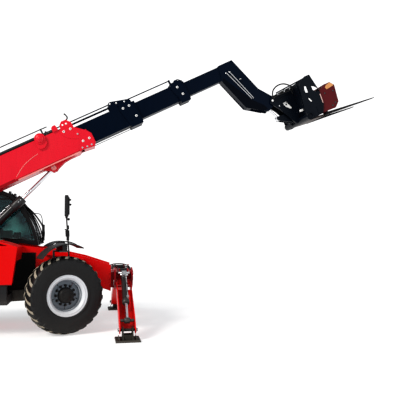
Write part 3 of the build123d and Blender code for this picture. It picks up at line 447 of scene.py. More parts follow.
def bar_mesh(side, start_turn):
    """One tread bar: wide at the shoulder, leaning back, and carried down over the sidewall."""
    stations = ((0.006, 0.0, 0), (0.05, 3.0, 0), (0.1, 6.2, 0), (0.15, 8.4, 0), (0.184, 9.4, 0.004),
                (0.1975, 9.8, 0.024))
    points, faces = [], []
    for y, lean, drop in stations:
        top = crown(min(y, 0.18)) - drop
        root = top - TREAD_DEPTH - 0.008
        wide = math.radians(2.1 + 0.9 * y / 0.2)
        for radius, spread in ((root, 1.25), (top, 0.86)):
            for sign in (-1, 1):
                angle = math.radians(lean + start_turn) + sign * wide * spread
                points.append((radius * math.cos(angle), side * y, radius * math.sin(angle)))
    for k in range(len(stations) - 1):
        a, b = 4 * k, 4 * k + 4
        faces += [(a, a + 1, b + 1, b), (a + 2, b + 2, b + 3, a + 3), (a, b, b + 2, a + 2),
                  (a + 1, a + 3, b + 3, b + 1)]
    last = 4 * len(stations) - 4
    faces += [(0, 2, 3, 1), (last, last + 1, last + 3, last + 2)]
    return bevelled(mesh_from("tread_bar", points, faces), 0.004)


side_profile = [(0.17, 0.331), (0.186, 0.345), (0.19, 0.362), (0.184, 0.372), (0.191, 0.392), (0.197, 0.43),
                (0.2, 0.475), (0.1985, 0.485), (0.2, 0.495), (0.198, 0.53), (0.19, 0.56), (0.176, 0.578)]
carcass_profile = ([(-0.165, 0.329)] + [(-y, r) for y, r in side_profile]
                   + [(-0.1, 0.586), (0, 0.59), (0.1, 0.586)] + [(y, r) for y, r in reversed(side_profile)]
                   + [(0.165, 0.329), (-0.165, 0.329)])
carcass = lathe("carcass", carcass_profile, 112)
carcass.materials.append(tyre_rubber)
pitch = 360 / BARS_EACH_SIDE
bars = grown("tread_bars", joined("bar_pair", [bar_mesh(-1, 0), bar_mesh(1, pitch / 2)]), ring_of_copies,
             Count=BARS_EACH_SIDE, Surface=tread_dust_and_highlight)
bars.materials.append(tyre_rubber)
for face in bars.polygons:  # only the running faces are pale: dust and scuffs, and partly a painted highlight
    outward = Vector((face.center.x, 0, face.center.z)).normalized()
    if face.normal.dot(outward) < 0.8:
        face.material_index = len(bars.materials) - 1
tyre_mesh = joined("tyre", [carcass, bars])


def wheel_matrix(forward, side, steer):
    """From a wheel drawn about y with its outside towards -y to its place on the machine."""
    turned = Matrix.Rotation(math.radians(steer), 4, "Z")
    kingpin = Matrix.Translation(at(forward, side * KINGPIN_Y, TYRE_RADIUS)) @ turned
    out = Matrix.Translation((0, side * WHEEL_OUT, 0))
    return kingpin @ out @ (Matrix.Diagonal((1, -1, 1, 1)) if side > 0 else Matrix.Identity(4))


def placed(name, mesh, matrix, body):
    """A copy of a drawn mesh in its place and joined to a body; a mirrored copy has its faces turned back."""
    copy = mesh.copy()
    copy.name = name
    copy.transform(matrix)
    if matrix.determinant() < 0:
        copy.flip_normals()
    piece = new_piece(name, copy)
    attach(piece, body)
    return piece


for corner, forward, side, steer in WHEELS:
    tyre = placed("moulded_tyre_" + corner, tyre_mesh, wheel_matrix(forward, side, steer), "wheel_" + corner)
    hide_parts("tyre_" + corner)

# ---------------------------------------------------------------- rims and hubs
# Pressed steel rims: a bright bead ring, a slate-grey disc with five slots, and the black cast end
# of the planetary hub, held by a ring of studs and nuts and closed by a bolted cap.
def hexagon_bolt(across, height, washer=1.35):
    """A hexagon head on a washer, standing on y = 0 towards -y."""
    points, faces = [], []
    for y in (0, -0.003):
        points += [(across * washer * math.cos(2 * math.pi * k / 18), y,
                    across * washer * math.sin(2 * math.pi * k / 18)) for k in range(18)]
    faces += [(k, (k + 1) % 18, 18 + (k + 1) % 18, 18 + k) for k in range(18)]
    faces += [tuple(range(18)), tuple(range(18, 36))]
    for y, radius in ((-0.003, across), (-height * 0.85, across), (-height, across * 0.8)):
        points += [(radius * math.cos(math.pi * k / 3), y, radius * math.sin(math.pi * k / 3))
                   for k in range(6)]
    for row in (36, 42):   # first points of the two lower hexagons
        faces += [(row + k, row + (k + 1) % 6, row + 6 + (k + 1) % 6, row + 6 + k) for k in range(6)]
    faces.append(tuple(range(48, 54)))
    return mesh_from("bolt", points, faces)


rim_silver = finish("bead_ring_silver", (0.6, 0.62, 0.65), roughness=0.34, coat=0.2, dust=0.35,
                    dust_height=0.6)
disc_grey = finish("rim_disc_slate", (0.15, 0.175, 0.205), roughness=0.42, dust=0.1, dust_height=0.8,
                   specular=0.35)
hub_black = finish("hub_black", (0.004, 0.004, 0.005), roughness=0.45, dust=0.06, specular=0.2)
bead_ring = lathe("bead_ring", [(-0.15, 0.3335), (-0.172, 0.3335), (-0.1765, 0.33), (-0.1765, 0.321),
                                (-0.1722, 0.317), (-0.1722, 0.3), (-0.1745, 0.296), (-0.1718, 0.287),
                                (-0.1415, 0.2625), (-0.1055, 0.2395), (-0.098, 0.2365), (-0.06, 0.2345)], 112)
bead_ring.materials.append(rim_silver)
hub_end = lathe("hub_end", [(-0.1555, 0.0), (-0.1555, 0.052), (-0.152, 0.058), (-0.152, 0.088),
                            (-0.1395, 0.1125), (-0.11, 0.119), (-0.108, 0.1255), (-0.0725, 0.1275),
                            (-0.062, 0.132)], 72)
hub_end.materials.append(hub_black)
hub_flange = lathe("hub_flange", [(-0.062, 0.131), (-0.058, 0.142), (-0.05, 0.166), (-0.034, 0.172),
                                  (-0.0295, 0.173)], 72)
hub_flange.materials.append(disc_grey)
wheel_nut = moved(hexagon_bolt(0.0185, 0.04), (0.153, -0.052, 0))
cap_bolt = moved(hexagon_bolt(0.0085, 0.011), (0.073, -0.151, 0))
hub_mesh = joined("hub_fittings", [
    bead_ring, hub_end, hub_flange,
    grown("wheel_nuts", wheel_nut, ring_of_copies, Count=12, Surface=hub_black),
    grown("cap_bolts", cap_bolt, ring_of_copies, Count=9, Surface=hub_black)])
for corner, forward, side, steer in WHEELS:
    paint_nodes(disc_grey, "rim_" + corner)
    placed("hub_fittings_" + corner, hub_mesh, wheel_matrix(forward, side, steer), "wheel_" + corner)

# ---------------------------------------------------------------- mudguards
# Thin guards moulded in black plastic, one over each wheel, bolted to a bent bracket of the steering
# knuckle so that they turn with the wheel.
guard_plastic = finish("mudguard_plastic", (0.008, 0.008, 0.009), roughness=0.5, dust=0.2, dust_height=1.4,
                       grain=240, relief=0.3, specular=0.3)
for corner, forward, side, steer in WHEELS:
    paint_nodes(guard_plastic, "mudguard_" + corner)

# ---------------------------------------------------------------- outer boom
# Box section folded from plate, in red enamel: a thicker head plate and a curved doubler are welded on
# each side, a flange runs along its foot, and white nylon wear-pad screws show through the head.
BOOM_ANGLE = 26.4
BOOM_HINGE = (-3.5, 1.487)
machine = Matrix.Translation(at(0, 0, 0))
BOTH = (-1, 1)
SIDES = ((1, "left"), (-1, "right"))


def leaning(x, z, angle):
    """A frame in the machine's middle plane whose x axis is turned by an angle in degrees about y."""
    return Matrix.Translation(at(x, 0, z)) @ Matrix.Rotation(math.radians(angle), 4, "Y")


boom_place = leaning(*BOOM_HINGE, -BOOM_ANGLE)


def slab(outline, y_low, y_high, bevel=0.003):
    """A plate drawn as (x, z) points, between two values of y, with eased edges."""
    count = len(outline)
    points = [(x, y, z) for y in (min(y_low, y_high), max(y_low, y_high)) for x, z in outline]
    faces = [tuple(range(count)), tuple(range(2 * count - 1, count - 1, -1))]
    faces += [(k, count + k, count + (k + 1) % count, (k + 1) % count) for k in range(count)]
    return bevelled(mesh_from("slab", points, faces), bevel)


def chunk(x, y, z, bevel=0.003):
    """A block between (low, high) pairs, with eased edges."""
    return slab([(x[0], z[0]), (x[1], z[0]), (x[1], z[1]), (x[0], z[1])], y[0], y[1], bevel)


def bar(start, end, radius, sides=20):
    """A round bar with eased ends."""
    start, end = Vector(start), Vector(end)
    length = (end - start).length
    ease = min(0.003, radius * 0.3)
    mesh = lathe("bar", [(0, 0), (0, radius - ease), (ease, radius), (length - ease, radius),
                         (length, radius - ease), (length, 0)], sides)
    turn = (end - start).to_track_quat("Y", "Z").to_matrix().to_4x4()
    mesh.transform(Matrix.Translation(start) @ turn)
    return mesh


def round_curve(name, points, radius, steps, rounding):
    """A curve of round section on a smooth line through its bends."""
    data = bpy.data.curves.new(name, "CURVE")
    data.dimensions = "3D"
    line = data.splines.new("NURBS")
    line.points.add(len(points) - 1)
    for point, place in zip(line.points, points):
        point.co = (*place, 1)
    line.order_u = 3
    line.use_endpoint_u = True
    data.resolution_u = steps
    data.bevel_depth = radius
    data.bevel_resolution = rounding
    data.use_fill_caps = True
    return data


def pipe(points, radius, sides=12):
    """A pipe or hose on a smooth line through its bends."""
    data = round_curve("pipe", points, radius, 10, max(1, sides // 4 - 1))
    mesh = evaluated(new_piece("pipe", data))
    for polygon in mesh.polygons:
        polygon.use_smooth = True
    return mesh


def disc(x, y, z, radius, thick, ease=0.002, sides=32):
    """A turned disc standing on the plane y, outwards from the machine's middle."""
    mesh = lathe("disc", [(0, radius), (thick - ease, radius), (thick, radius - ease), (thick, 0)], sides)
    return moved(mesh, (x, y, z), mirror=y <= 0)


def bolts_at(places, y, across=0.012, height=0.012):
    """Hexagon bolts on the plane y at (x, z) places, heads outwards."""
    return joined("bolts", [moved(hexagon_bolt(across, height), (x, y, z), mirror=y > 0) for x, z in places])


def circle(x, z, radius, count):
    """Points evenly spaced on a circle."""
    turns = [2 * math.pi * k / count for k in range(count)]
    return [(x + radius * math.cos(a), z + radius * math.sin(a)) for a in turns]


def fit(name, meshes, surface, body, place=machine):
    """Meshes drawn in one frame, in one material unless it is None, as one piece on a body."""
    if surface:
        meshes = [painted(mesh, surface) for mesh in meshes]
    return placed(name, joined(name, meshes), place, body)


boom_red = finish("boom_red_enamel", (0.66, 0.006, 0.022), roughness=0.3, dust=0.08, dust_height=1.5,
                  shade=0.2, specular=0.25)
# pale pink with a clear coat: a painted highlight where light catches the boom's edges
flange_highlight_pink = finish("flange_painted_highlight", (0.78, 0.22, 0.2), roughness=0.35, coat=0.2, dust=0.1, shade=0.25)
nylon_and_seen_through_white = finish("nylon_and_seen_through_white", (0.82, 0.82, 0.8), roughness=0.4, dust=0.05, shade=0.05, grain=120)
zinc_plate = finish("zinc_plate", (0.62, 0.63, 0.64), roughness=0.3, metal=0.9, dust=0.1, shade=0.15,
                    grain=200)
black_fitting = finish("black_fitting", (0.008, 0.008, 0.009), roughness=0.45, dust=0.1, grain=140,
                       relief=0.2)
hose_rubber = finish("hose_rubber", (0.005, 0.005, 0.006), roughness=0.6, dust=0.04, grain=300, relief=0.4,
                     specular=0.35)
paint_nodes(boom_red, "outer_boom")
paint_nodes(hose_rubber, "boom_hose")

BOOM_SIDE, DOUBLER, FLANGE_OUT = 0.19, 0.006, 0.02
WEAR_SCREW, WEAR_SCREW_STANDS = 0.021, 0.007
doubler_line = [(2.8, -0.226), (2.85, -0.19), (2.896, -0.158), (2.958, -0.113), (3.028, -0.072), (3.1, -0.04),
                (3.172, -0.017), (3.26, 0.008), (3.348, 0.02), (3.43, 0.025), (3.5, 0.023), (3.618, 0.006),
                (3.74, -0.026), (3.86, -0.07), (3.96, -0.125), (4.02, -0.18), (4.03, -0.226)]
head_line = [(3.82, 0.225), (3.95, 0.226), (4.12, 0.178), (4.286, 0.04), (4.332, -0.035), (4.332, -0.19),
             (4.296, -0.25), (4.07, -0.226), (4.066, -0.12), (4.112, -0.029), (4.055, -0.012), (4.009, 0.012),
             (3.965, 0.037), (3.929, 0.068), (3.9, 0.1), (3.88, 0.133)]
boss_block = [(3.392, 0.21), (3.396, 0.105), (3.425, 0.068), (3.505, 0.068), (3.575, 0.12), (3.585, 0.2)]
head_screws = [(3.918, 0.19), (4.043, 0.189), (4.151, -0.097), (4.273, -0.095)]
folded, red_steel, highlit_strips, white, bright, black = [], [], [], [], [], []
for side in BOTH:
    y = side * BOOM_SIDE
    red_steel += [slab(doubler_line, y, y + side * DOUBLER), slab(head_line, y, y + side * DOUBLER),
                  slab(boss_block, y, y + side * 0.03, 0.005),
                  disc(3.492, side * 0.2315, 0.246, 0.07, 0.016, 0.005),
                  disc(3.492, side * 0.247, 0.246, 0.028, 0.006)]
    # pale pink strips on the flange's lit top, along the doubler's edge and on a small disc: painted
    # highlight
    highlit_strips += [slab([(2.86, -0.262), (4.03, -0.262), (4.03, -0.24), (2.86, -0.24)], y - side * 0.002,
                  y + side * FLANGE_OUT, 0.002),
             pipe([(u, y + side * DOUBLER, w) for u, w in doubler_line[1:9]], 0.0045, 8),
             disc(3.484, side * 0.0795, -0.3, 0.05, 0.022, 0.006)]
    # darker red strips along the lower corner, and on the flange short of its lit part: painted shade
    folded += [slab([(-0.17, -0.262), (2.858, -0.262), (2.858, -0.24), (-0.17, -0.24)], y - side * 0.002,
                    y + side * FLANGE_OUT, 0.002),
               slab([(-0.17, -0.24), (4.03, -0.24), (4.03, -0.208), (-0.17, -0.208)], y - side * 0.002,
                    y + side * 0.004, 0.002)]
    red_steel.append(disc(4.119, y + side * DOUBLER, 0.057, 0.026, 0.005))
    white += [disc(u, y + side * DOUBLER, w, WEAR_SCREW, WEAR_SCREW_STANDS) for u, w in head_screws]
    bright += [bolts_at([(4.119, 0.057)], y + side * (DOUBLER + 0.005), 0.011),
               bolts_at([(4.09, -0.2), (4.176, -0.215), (4.262, -0.215)], y + side * DOUBLER, 0.012),
               bolts_at([(3.462, -0.285), (3.506, -0.285)], side * 0.1, 0.007, 0.008)]
    black += [bolts_at(head_screws, y + side * (DOUBLER + WEAR_SCREW_STANDS), 0.007, 0.005),
              bolts_at(circle(0, 0, 0.09, 8), y, 0.009)]
white += [disc(u, side * 0.1795, w, 0.016, 0.006) for u, w in ((3.95, 0.309), (4.016, 0.306))
          for side in BOTH]
black += [bar((3.66, -0.12, 0.29), (3.7, -0.12, 0.29), 0.036),
          bar((3.7, -0.12, 0.29), (3.725, -0.12, 0.29), 0.028),
          pipe([(3.72, -0.12, 0.29), (3.78, -0.12, 0.29), (3.83, -0.12, 0.275), (3.84, -0.12, 0.235)], 0.02),
          chunk((3.615, 3.65), (-0.165, -0.075), (0.257, 0.335)),
          pipe([(4.0, -0.1, 0.37), (4.075, -0.1, 0.378), (4.096, -0.1, 0.44), (4.062, -0.1, 0.498)], 0.013)]
red_steel += [slab([(3.745, 0.257), (3.745, 0.335), (3.78, 0.36), (3.83, 0.36), (3.845, 0.3), (3.845, 0.257)],
                   -0.212, -0.204),
              chunk((0.5, 0.54), (-0.19, 0.19), (0.257, 0.268)),
              chunk((2.0, 2.04), (0.15, 0.19), (0.257, 0.268)),
              chunk((2.0, 2.04), (-0.19, -0.15), (0.257, 0.268))]
fit("boom_side_plates", red_steel, boom_red, "boom", boom_place)
boom_shade_red = finish("boom_corner_painted_shade", (0.3, 0.001, 0.006), roughness=0.35, dust=0.1, dust_height=1.5,
                    shade=0.3, specular=0.15)
fit("boom_shaded_corners", folded, boom_shade_red, "boom", boom_place)
fit("boom_flange_highlights", highlit_strips, flange_highlight_pink, "boom", boom_place)
fit("head_wear_screws", white, nylon_and_seen_through_white, "boom", boom_place)
fit("boom_bolts", bright, zinc_plate, "boom", boom_place)

# ribs of the sleeve over the hose on top of the boom
HOSE_RADIUS, RIB_PITCH = 0.032, 0.014
rib = lathe("rib", [(-0.0035, HOSE_RADIUS - 0.001), (-0.002, HOSE_RADIUS + 0.0025),
                    (0.002, HOSE_RADIUS + 0.0025), (0.0035, HOSE_RADIUS - 0.001)], 20)
moved(rib, (0.075, -0.12, 0.2903), 90)
ribs = grown("hose_ribs", rib, row_of_copies, Count=int(3.56 / RIB_PITCH), Step=(RIB_PITCH, 0, 0),
             Surface=hose_rubber)
fit("hose_fittings", [painted(m, black_fitting) for m in black] + [ribs], None, "boom",
    boom_place)

# ---------------------------------------------------------------- inner boom sections
# Three tubes in blue-black enamel that slide in each other: bolted collars with nylon screws, a top
# bracket that guides the pipes, and thin chain rods under the first tube.
navy = finish("boom_navy_enamel", (0.0006, 0.004, 0.0125), roughness=0.32, dust=0.012, dust_height=0.5,
              shade=0.25, specular=0.05)
paint_nodes(navy, "boom_section_2", "boom_section_3", "boom_section_4", "boom_nose")
COLLARS = (
    # body, side of collar, screws, top bracket, its place across, its bolts
    ("section_2", 0.17, [(5.054, 0.142), (5.176, 0.145), (5.217, -0.075)],
     [(4.838, 0.196), (4.838, 0.325), (4.862, 0.346), (4.9, 0.348), (5.232, 0.264), (5.238, 0.233),
      (4.99, 0.233), (4.97, 0.196)],
     0.15, [(4.874, 0.315), (4.987, 0.285), (5.13, 0.25)]),
    ("section_3", 0.138, [(6.144, 0.097), (6.187, -0.057)],
     [(6.11, 0.206), (6.14, 0.236), (6.215, 0.236), (6.285, 0.178), (6.27, 0.14), (6.2, 0.18)],
     0.128, [(6.21, 0.205)]),
)
for body, side_y, screws, bracket, bracket_y, bracket_bolts in COLLARS:
    dark, white = [], []
    for side in BOTH:
        y = side * side_y
        white += [disc(u, y, w, WEAR_SCREW, WEAR_SCREW_STANDS) for u, w in screws]
        white += [disc(u, side * bracket_y, w, 0.014, 0.005) for u, w in bracket_bolts]
        dark.append(slab(bracket, side * bracket_y, side * (bracket_y - 0.01)))
        dark.append(bolts_at(screws, y + side * WEAR_SCREW_STANDS, 0.007, 0.005))
        low_u = screws[-1][0] - 0.14
        low_bolts = [(low_u + 0.03, -screws[0][1] + step) for step in (-0.03, 0.03)]
        dark.append(bolts_at(low_bolts, y, 0.01))
    fit(body + "_collar_plates", dark, navy, body, boom_place)
    fit(body + "_wear_screws", white, nylon_and_seen_through_white, body, boom_place)
    if body == "section_2":
        rods = [bar((3.6, y, -0.2205), (5.075, y, -0.2205), 0.006, 12) for y in (-0.142, 0.142)]
        fit(body + "_chain_rods", rods, black_fitting, body, boom_place)

# ---------------------------------------------------------------- boom nose
# Cranked nose of folded plate, near black on each side below the pipes: two zinc-plated pipes in
# clamps, a white grease plug, and the turned ends of the tilt pins.
nose_low_dark = finish("nose_low_dark_finish", (0.001, 0.002, 0.005), roughness=0.5, dust=0.01, specular=0.05)
NOSE_SIDE = 0.106
NOSE_PIPES = [((2.917, 4.61), (3.375, 4.183)), ((2.976, 4.633), (3.414, 4.194))]
nose_low_outline = [(2.842, 4.53), (3.39, 4.144), (3.64, 4.05), (3.72, 3.984), (3.64, 3.93), (3.285, 3.985),
               (2.83, 4.445)]
pipes, clamps, plugs, panels = [], [], [], []
for side in BOTH:
    y = side * (NOSE_SIDE + 0.014)
    panels.append(slab(nose_low_outline, side * (NOSE_SIDE - 0.002), side * (NOSE_SIDE + 0.0015), 0.001))
    for (x1, z1), (x2, z2) in NOSE_PIPES:
        pipes.append(pipe([(x1 - 0.03, side * (NOSE_SIDE - 0.01), z1 + 0.028), (x1 - 0.012, y, z1 + 0.012),
                           (x1 + 0.03, y, z1 - 0.028), (x2 - 0.03, y, z2 + 0.028),
                           (x2 + 0.012, y, z2 - 0.012),
                           (x2 + 0.03, side * (NOSE_SIDE - 0.01), z2 - 0.028)], 0.008))
    for share in (0.12, 0.5, 0.86):
        (x1, z1), (x2, z2) = NOSE_PIPES[0]
        (x3, z3), (x4, z4) = NOSE_PIPES[1]
        a = (x1 + (x2 - x1) * share, z1 + (z2 - z1) * share)
        b = (x3 + (x4 - x3) * share, z3 + (z4 - z3) * share)
        clamps.append(bar((a[0] - 0.012, side * (NOSE_SIDE + 0.004), a[1]),
                          (b[0] + 0.012, side * (NOSE_SIDE + 0.004), b[1]), 0.008, 8))
    plugs.append(disc(3.18, side * NOSE_SIDE, 4.515, 0.02, 0.006))
    plugs.append(disc(3.8, side * (NOSE_SIDE + 0.0495), 4.13, 0.02, 0.004))
fit("nose_lower_dark_sheets", panels, nose_low_dark, "section_4")
fit("nose_pipes", pipes, zinc_plate, "section_4")
fit("nose_clamps", clamps, black_fitting, "section_4")
fit("nose_plugs", plugs, nylon_and_seen_through_white, "section_4")

# ---------------------------------------------------------------- cylinders
# Black enamelled barrels with a bolted gland and steel feed pipes in clips; rods ground and
# hard-chromed. Each is pinned between ears of the parts that it moves.
chrome = finish("hard_chrome", (0.8, 0.81, 0.83), roughness=0.09, metal=1.0, dust=0.04, shade=0.06, grain=300,
                relief=0.02)
barrel_black = finish("barrel_black_enamel", (0.006, 0.006, 0.007), roughness=0.32, dust=0.06, specular=0.35)
paint_nodes(chrome, "lift_rod", "tilt_rod", "leg_rod_left", "leg_rod_right")
paint_nodes(barrel_black, "lift_barrel", "tilt_barrel", "leg_barrel_left", "leg_barrel_right")


def gland_ring(start, end, radius, rod_radius):
    """The threaded head of a barrel, drawn along x: a stepped ring with a wiper lip."""
    ring = lathe("gland", [(start, radius - 0.004), (start, radius + 0.006), (start + 0.006, radius + 0.009),
                           (end - 0.006, radius + 0.009), (end, radius + 0.004), (end, radius - 0.01),
                           (end + 0.006, rod_radius + 0.012), (end + 0.006, rod_radius + 0.001)], 48)
    return moved(ring, (0, 0, 0), -90)


lift_place, tilt_place = leaning(-2.19, 0.75, -46.06), leaning(3.18, 4.5, 41.1)
lift_bits = [gland_ring(1.8, 2.042, 0.073, 0.034), chunk((0.12, 0.2), (-0.035, 0.035), (0.06, 0.105), 0.005)]
lift_lines = [pipe([(0.19, y, 0.085), (0.26, y, 0.085), (0.29, y, 0.08), (0.34, y, 0.079), (1.74, y, 0.079),
                    (1.77, y, 0.079), (1.79, y, 0.079), (1.81, y, 0.072)], 0.0085) for y in (-0.018, 0.018)]
lift_bits += [chunk((s, s + 0.022), (-0.034, 0.034), (0.06, 0.091), 0.003) for s in (0.55, 0.95, 1.35, 1.7)]
lift_lines += [bolts_at([(1.95 + 0.05 * k, 0.0) for k in range(2)], side * 0.081, 0.008, 0.006)
               for side in BOTH]
fit("lift_barrel_fittings", lift_bits, black_fitting, "lift_barrel", lift_place)
fit("lift_barrel_lines", lift_lines, zinc_plate, "lift_barrel", lift_place)
fit("tilt_barrel_fittings", [gland_ring(0.5, 0.556, 0.046, 0.022),
                             chunk((0.1, 0.15), (-0.02, 0.02), (0.04, 0.068), 0.004),
                             chunk((0.47, 0.5), (-0.015, 0.015), (0.04, 0.062), 0.003)], black_fitting,
    "tilt_barrel", tilt_place)
fit("tilt_barrel_lines", [pipe([(0.145, 0, 0.056), (0.18, 0, 0.056), (0.2, 0, 0.055), (0.45, 0, 0.055),
                                (0.47, 0, 0.055)], 0.006)], zinc_plate, "tilt_barrel",
    tilt_place)

# ---------------------------------------------------------------- fork carriage
# Black welded carriage that tilts on the nose's pin, a block in dark maroon (painted shade on red paint)
# bolted between it and the fork frame, and forged black forks that hang on the frame's bar.
fork_black = finish("fork_black", (0.004, 0.004, 0.005), roughness=0.45, dust=0.02, grain=150, specular=0.12)
# the fork frame's dark maroon stands for its red paint in shade: painted shade
shaded_maroon = finish("red_enamel_in_painted_shade", (0.085, 0.006, 0.009), roughness=0.5, dust=0.05, shade=0.3, specular=0.12)
carriage_black = finish("carriage_black", (0.002, 0.004, 0.008), roughness=0.42, dust=0.02, specular=0.09)
paint_nodes(carriage_black, "carriage")
paint_nodes(shaded_maroon, "fork_frame")
paint_nodes(fork_black, "forks")

# ---------------------------------------------------------------- cab
# Pressed and welded cab in black enamel with panes of green tinted safety glass. The right pane is a
# dark one, lighter in patches and towards its rear: these teal patches are painted reflections; the others
# are nearly clear.
RIGHT_PANE_EDGE = (0.25, 0.27)
glass, tree, shader = new_material("tinted_glass")
for key, value in (("Roughness", 0.02), ("Transmission Weight", 1.0), ("IOR", 1.45)):
    shader.inputs[key].default_value = value
reflection_patches = add_node(tree, "ShaderNodeTexNoise", Scale=2.2)
tint_and_reflections = add_node(tree, "ShaderNodeValToRGB")
for element, position, colour in zip(tint_and_reflections.color_ramp.elements, (0.5, 0.72),
                                     ((0.012, 0.035, 0.04, 1), (0.1, 0.28, 0.25, 1))):
    element.position, element.color = position, colour
where, width = add_node(tree, "ShaderNodeTexCoord"), add_node(tree, "ShaderNodeSeparateXYZ")
dark_side = add_node(tree, "ShaderNodeMapRange", From_Min=RIGHT_PANE_EDGE[0], From_Max=RIGHT_PANE_EDGE[1],
                     To_Min=1.0, To_Max=0.0)
reflection_fade_to_front = add_node(tree, "ShaderNodeMapRange", From_Min=front_right_x - 0.96, From_Max=front_right_x - 0.8,
                      To_Min=1.12, To_Max=0.86)
dimmed = add_node(tree, "ShaderNodeMath", operation="MULTIPLY")
panes = add_node(tree, "ShaderNodeMix", data_type="RGBA")
panes.inputs["A"].default_value = (0.78, 0.9, 0.87, 1)
wire(tree, (reflection_patches.outputs["Fac"], dimmed.inputs[0]), (dimmed.outputs[0], tint_and_reflections.inputs["Fac"]),
     (width.outputs["X"], reflection_fade_to_front.inputs["Value"]), (reflection_fade_to_front.outputs["Result"], dimmed.inputs[1]),
     (where.outputs["Object"], width.inputs[0]), (width.outputs["Y"], dark_side.inputs["Value"]),
     (dark_side.outputs["Result"], panes.inputs["Factor"]), (tint_and_reflections.outputs["Color"], panes.inputs["B"]),
     (panes.outputs["Result"], shader.inputs["Base Color"]))
paint_nodes(glass, "cab_glass", "door_glass")
cab_black = finish("cab_black_enamel", (0.005, 0.005, 0.006), roughness=0.35, dust=0.08, specular=0.25)
paint_nodes(cab_black, "cab_shell", "cab_door")
trim_plastic = finish("trim_plastic", (0.01, 0.01, 0.011), roughness=0.55, dust=0.05, grain=300, relief=0.4,
                      specular=0.25)
paint_nodes(trim_plastic, "cab_controls", "mirrors")

# ---------------------------------------------------------------- stabilisers
# Welded legs with a pinned foot; each barrel carries a zinc-plated lock valve with elbows, a feed pipe
# to its gland, and a rubber hose that leaves beside the pin it swings on.
LEG_X, LEG_HALF = 0.97, 0.125
CYLINDER_PIN, CYLINDER_TURN = (0.52, 0.955), -31.79   # y and z of the pin; the barrel's turn about x
LEG_PIN, FOOT_PIN, ROD_EYE = (0.48, 0.76), (1.72, 0.16), 1.2759
PAD_END = [(-0.188, 0.001), (0.188, 0.001), (0.188, 0.024), (0.176, 0.032), (-0.176, 0.032), (-0.188, 0.024)]


def end_cap(x, y, z, radius, thick, out, sides=24):
    """A turned disc on a pin's end that faces along x."""
    profile = [(0, 0), (0, radius), (thick - 0.002, radius), (thick, radius - 0.002), (thick, 0)]
    mesh = lathe("end_cap", profile, sides)
    return moved(mesh, (x, y, z), -90 * out)


def leg_cylinder_place(side):
    """From along the barrel and square to it, x across the leg, to the machine."""
    lean = Matrix.Rotation(math.radians(CYLINDER_TURN), 4, "X")
    place = Matrix.Translation(at(LEG_X, CYLINDER_PIN[0], CYLINDER_PIN[1])) @ lean
    return (Matrix.Identity(4) if side > 0 else Matrix.Diagonal((1, -1, 1, 1))) @ place


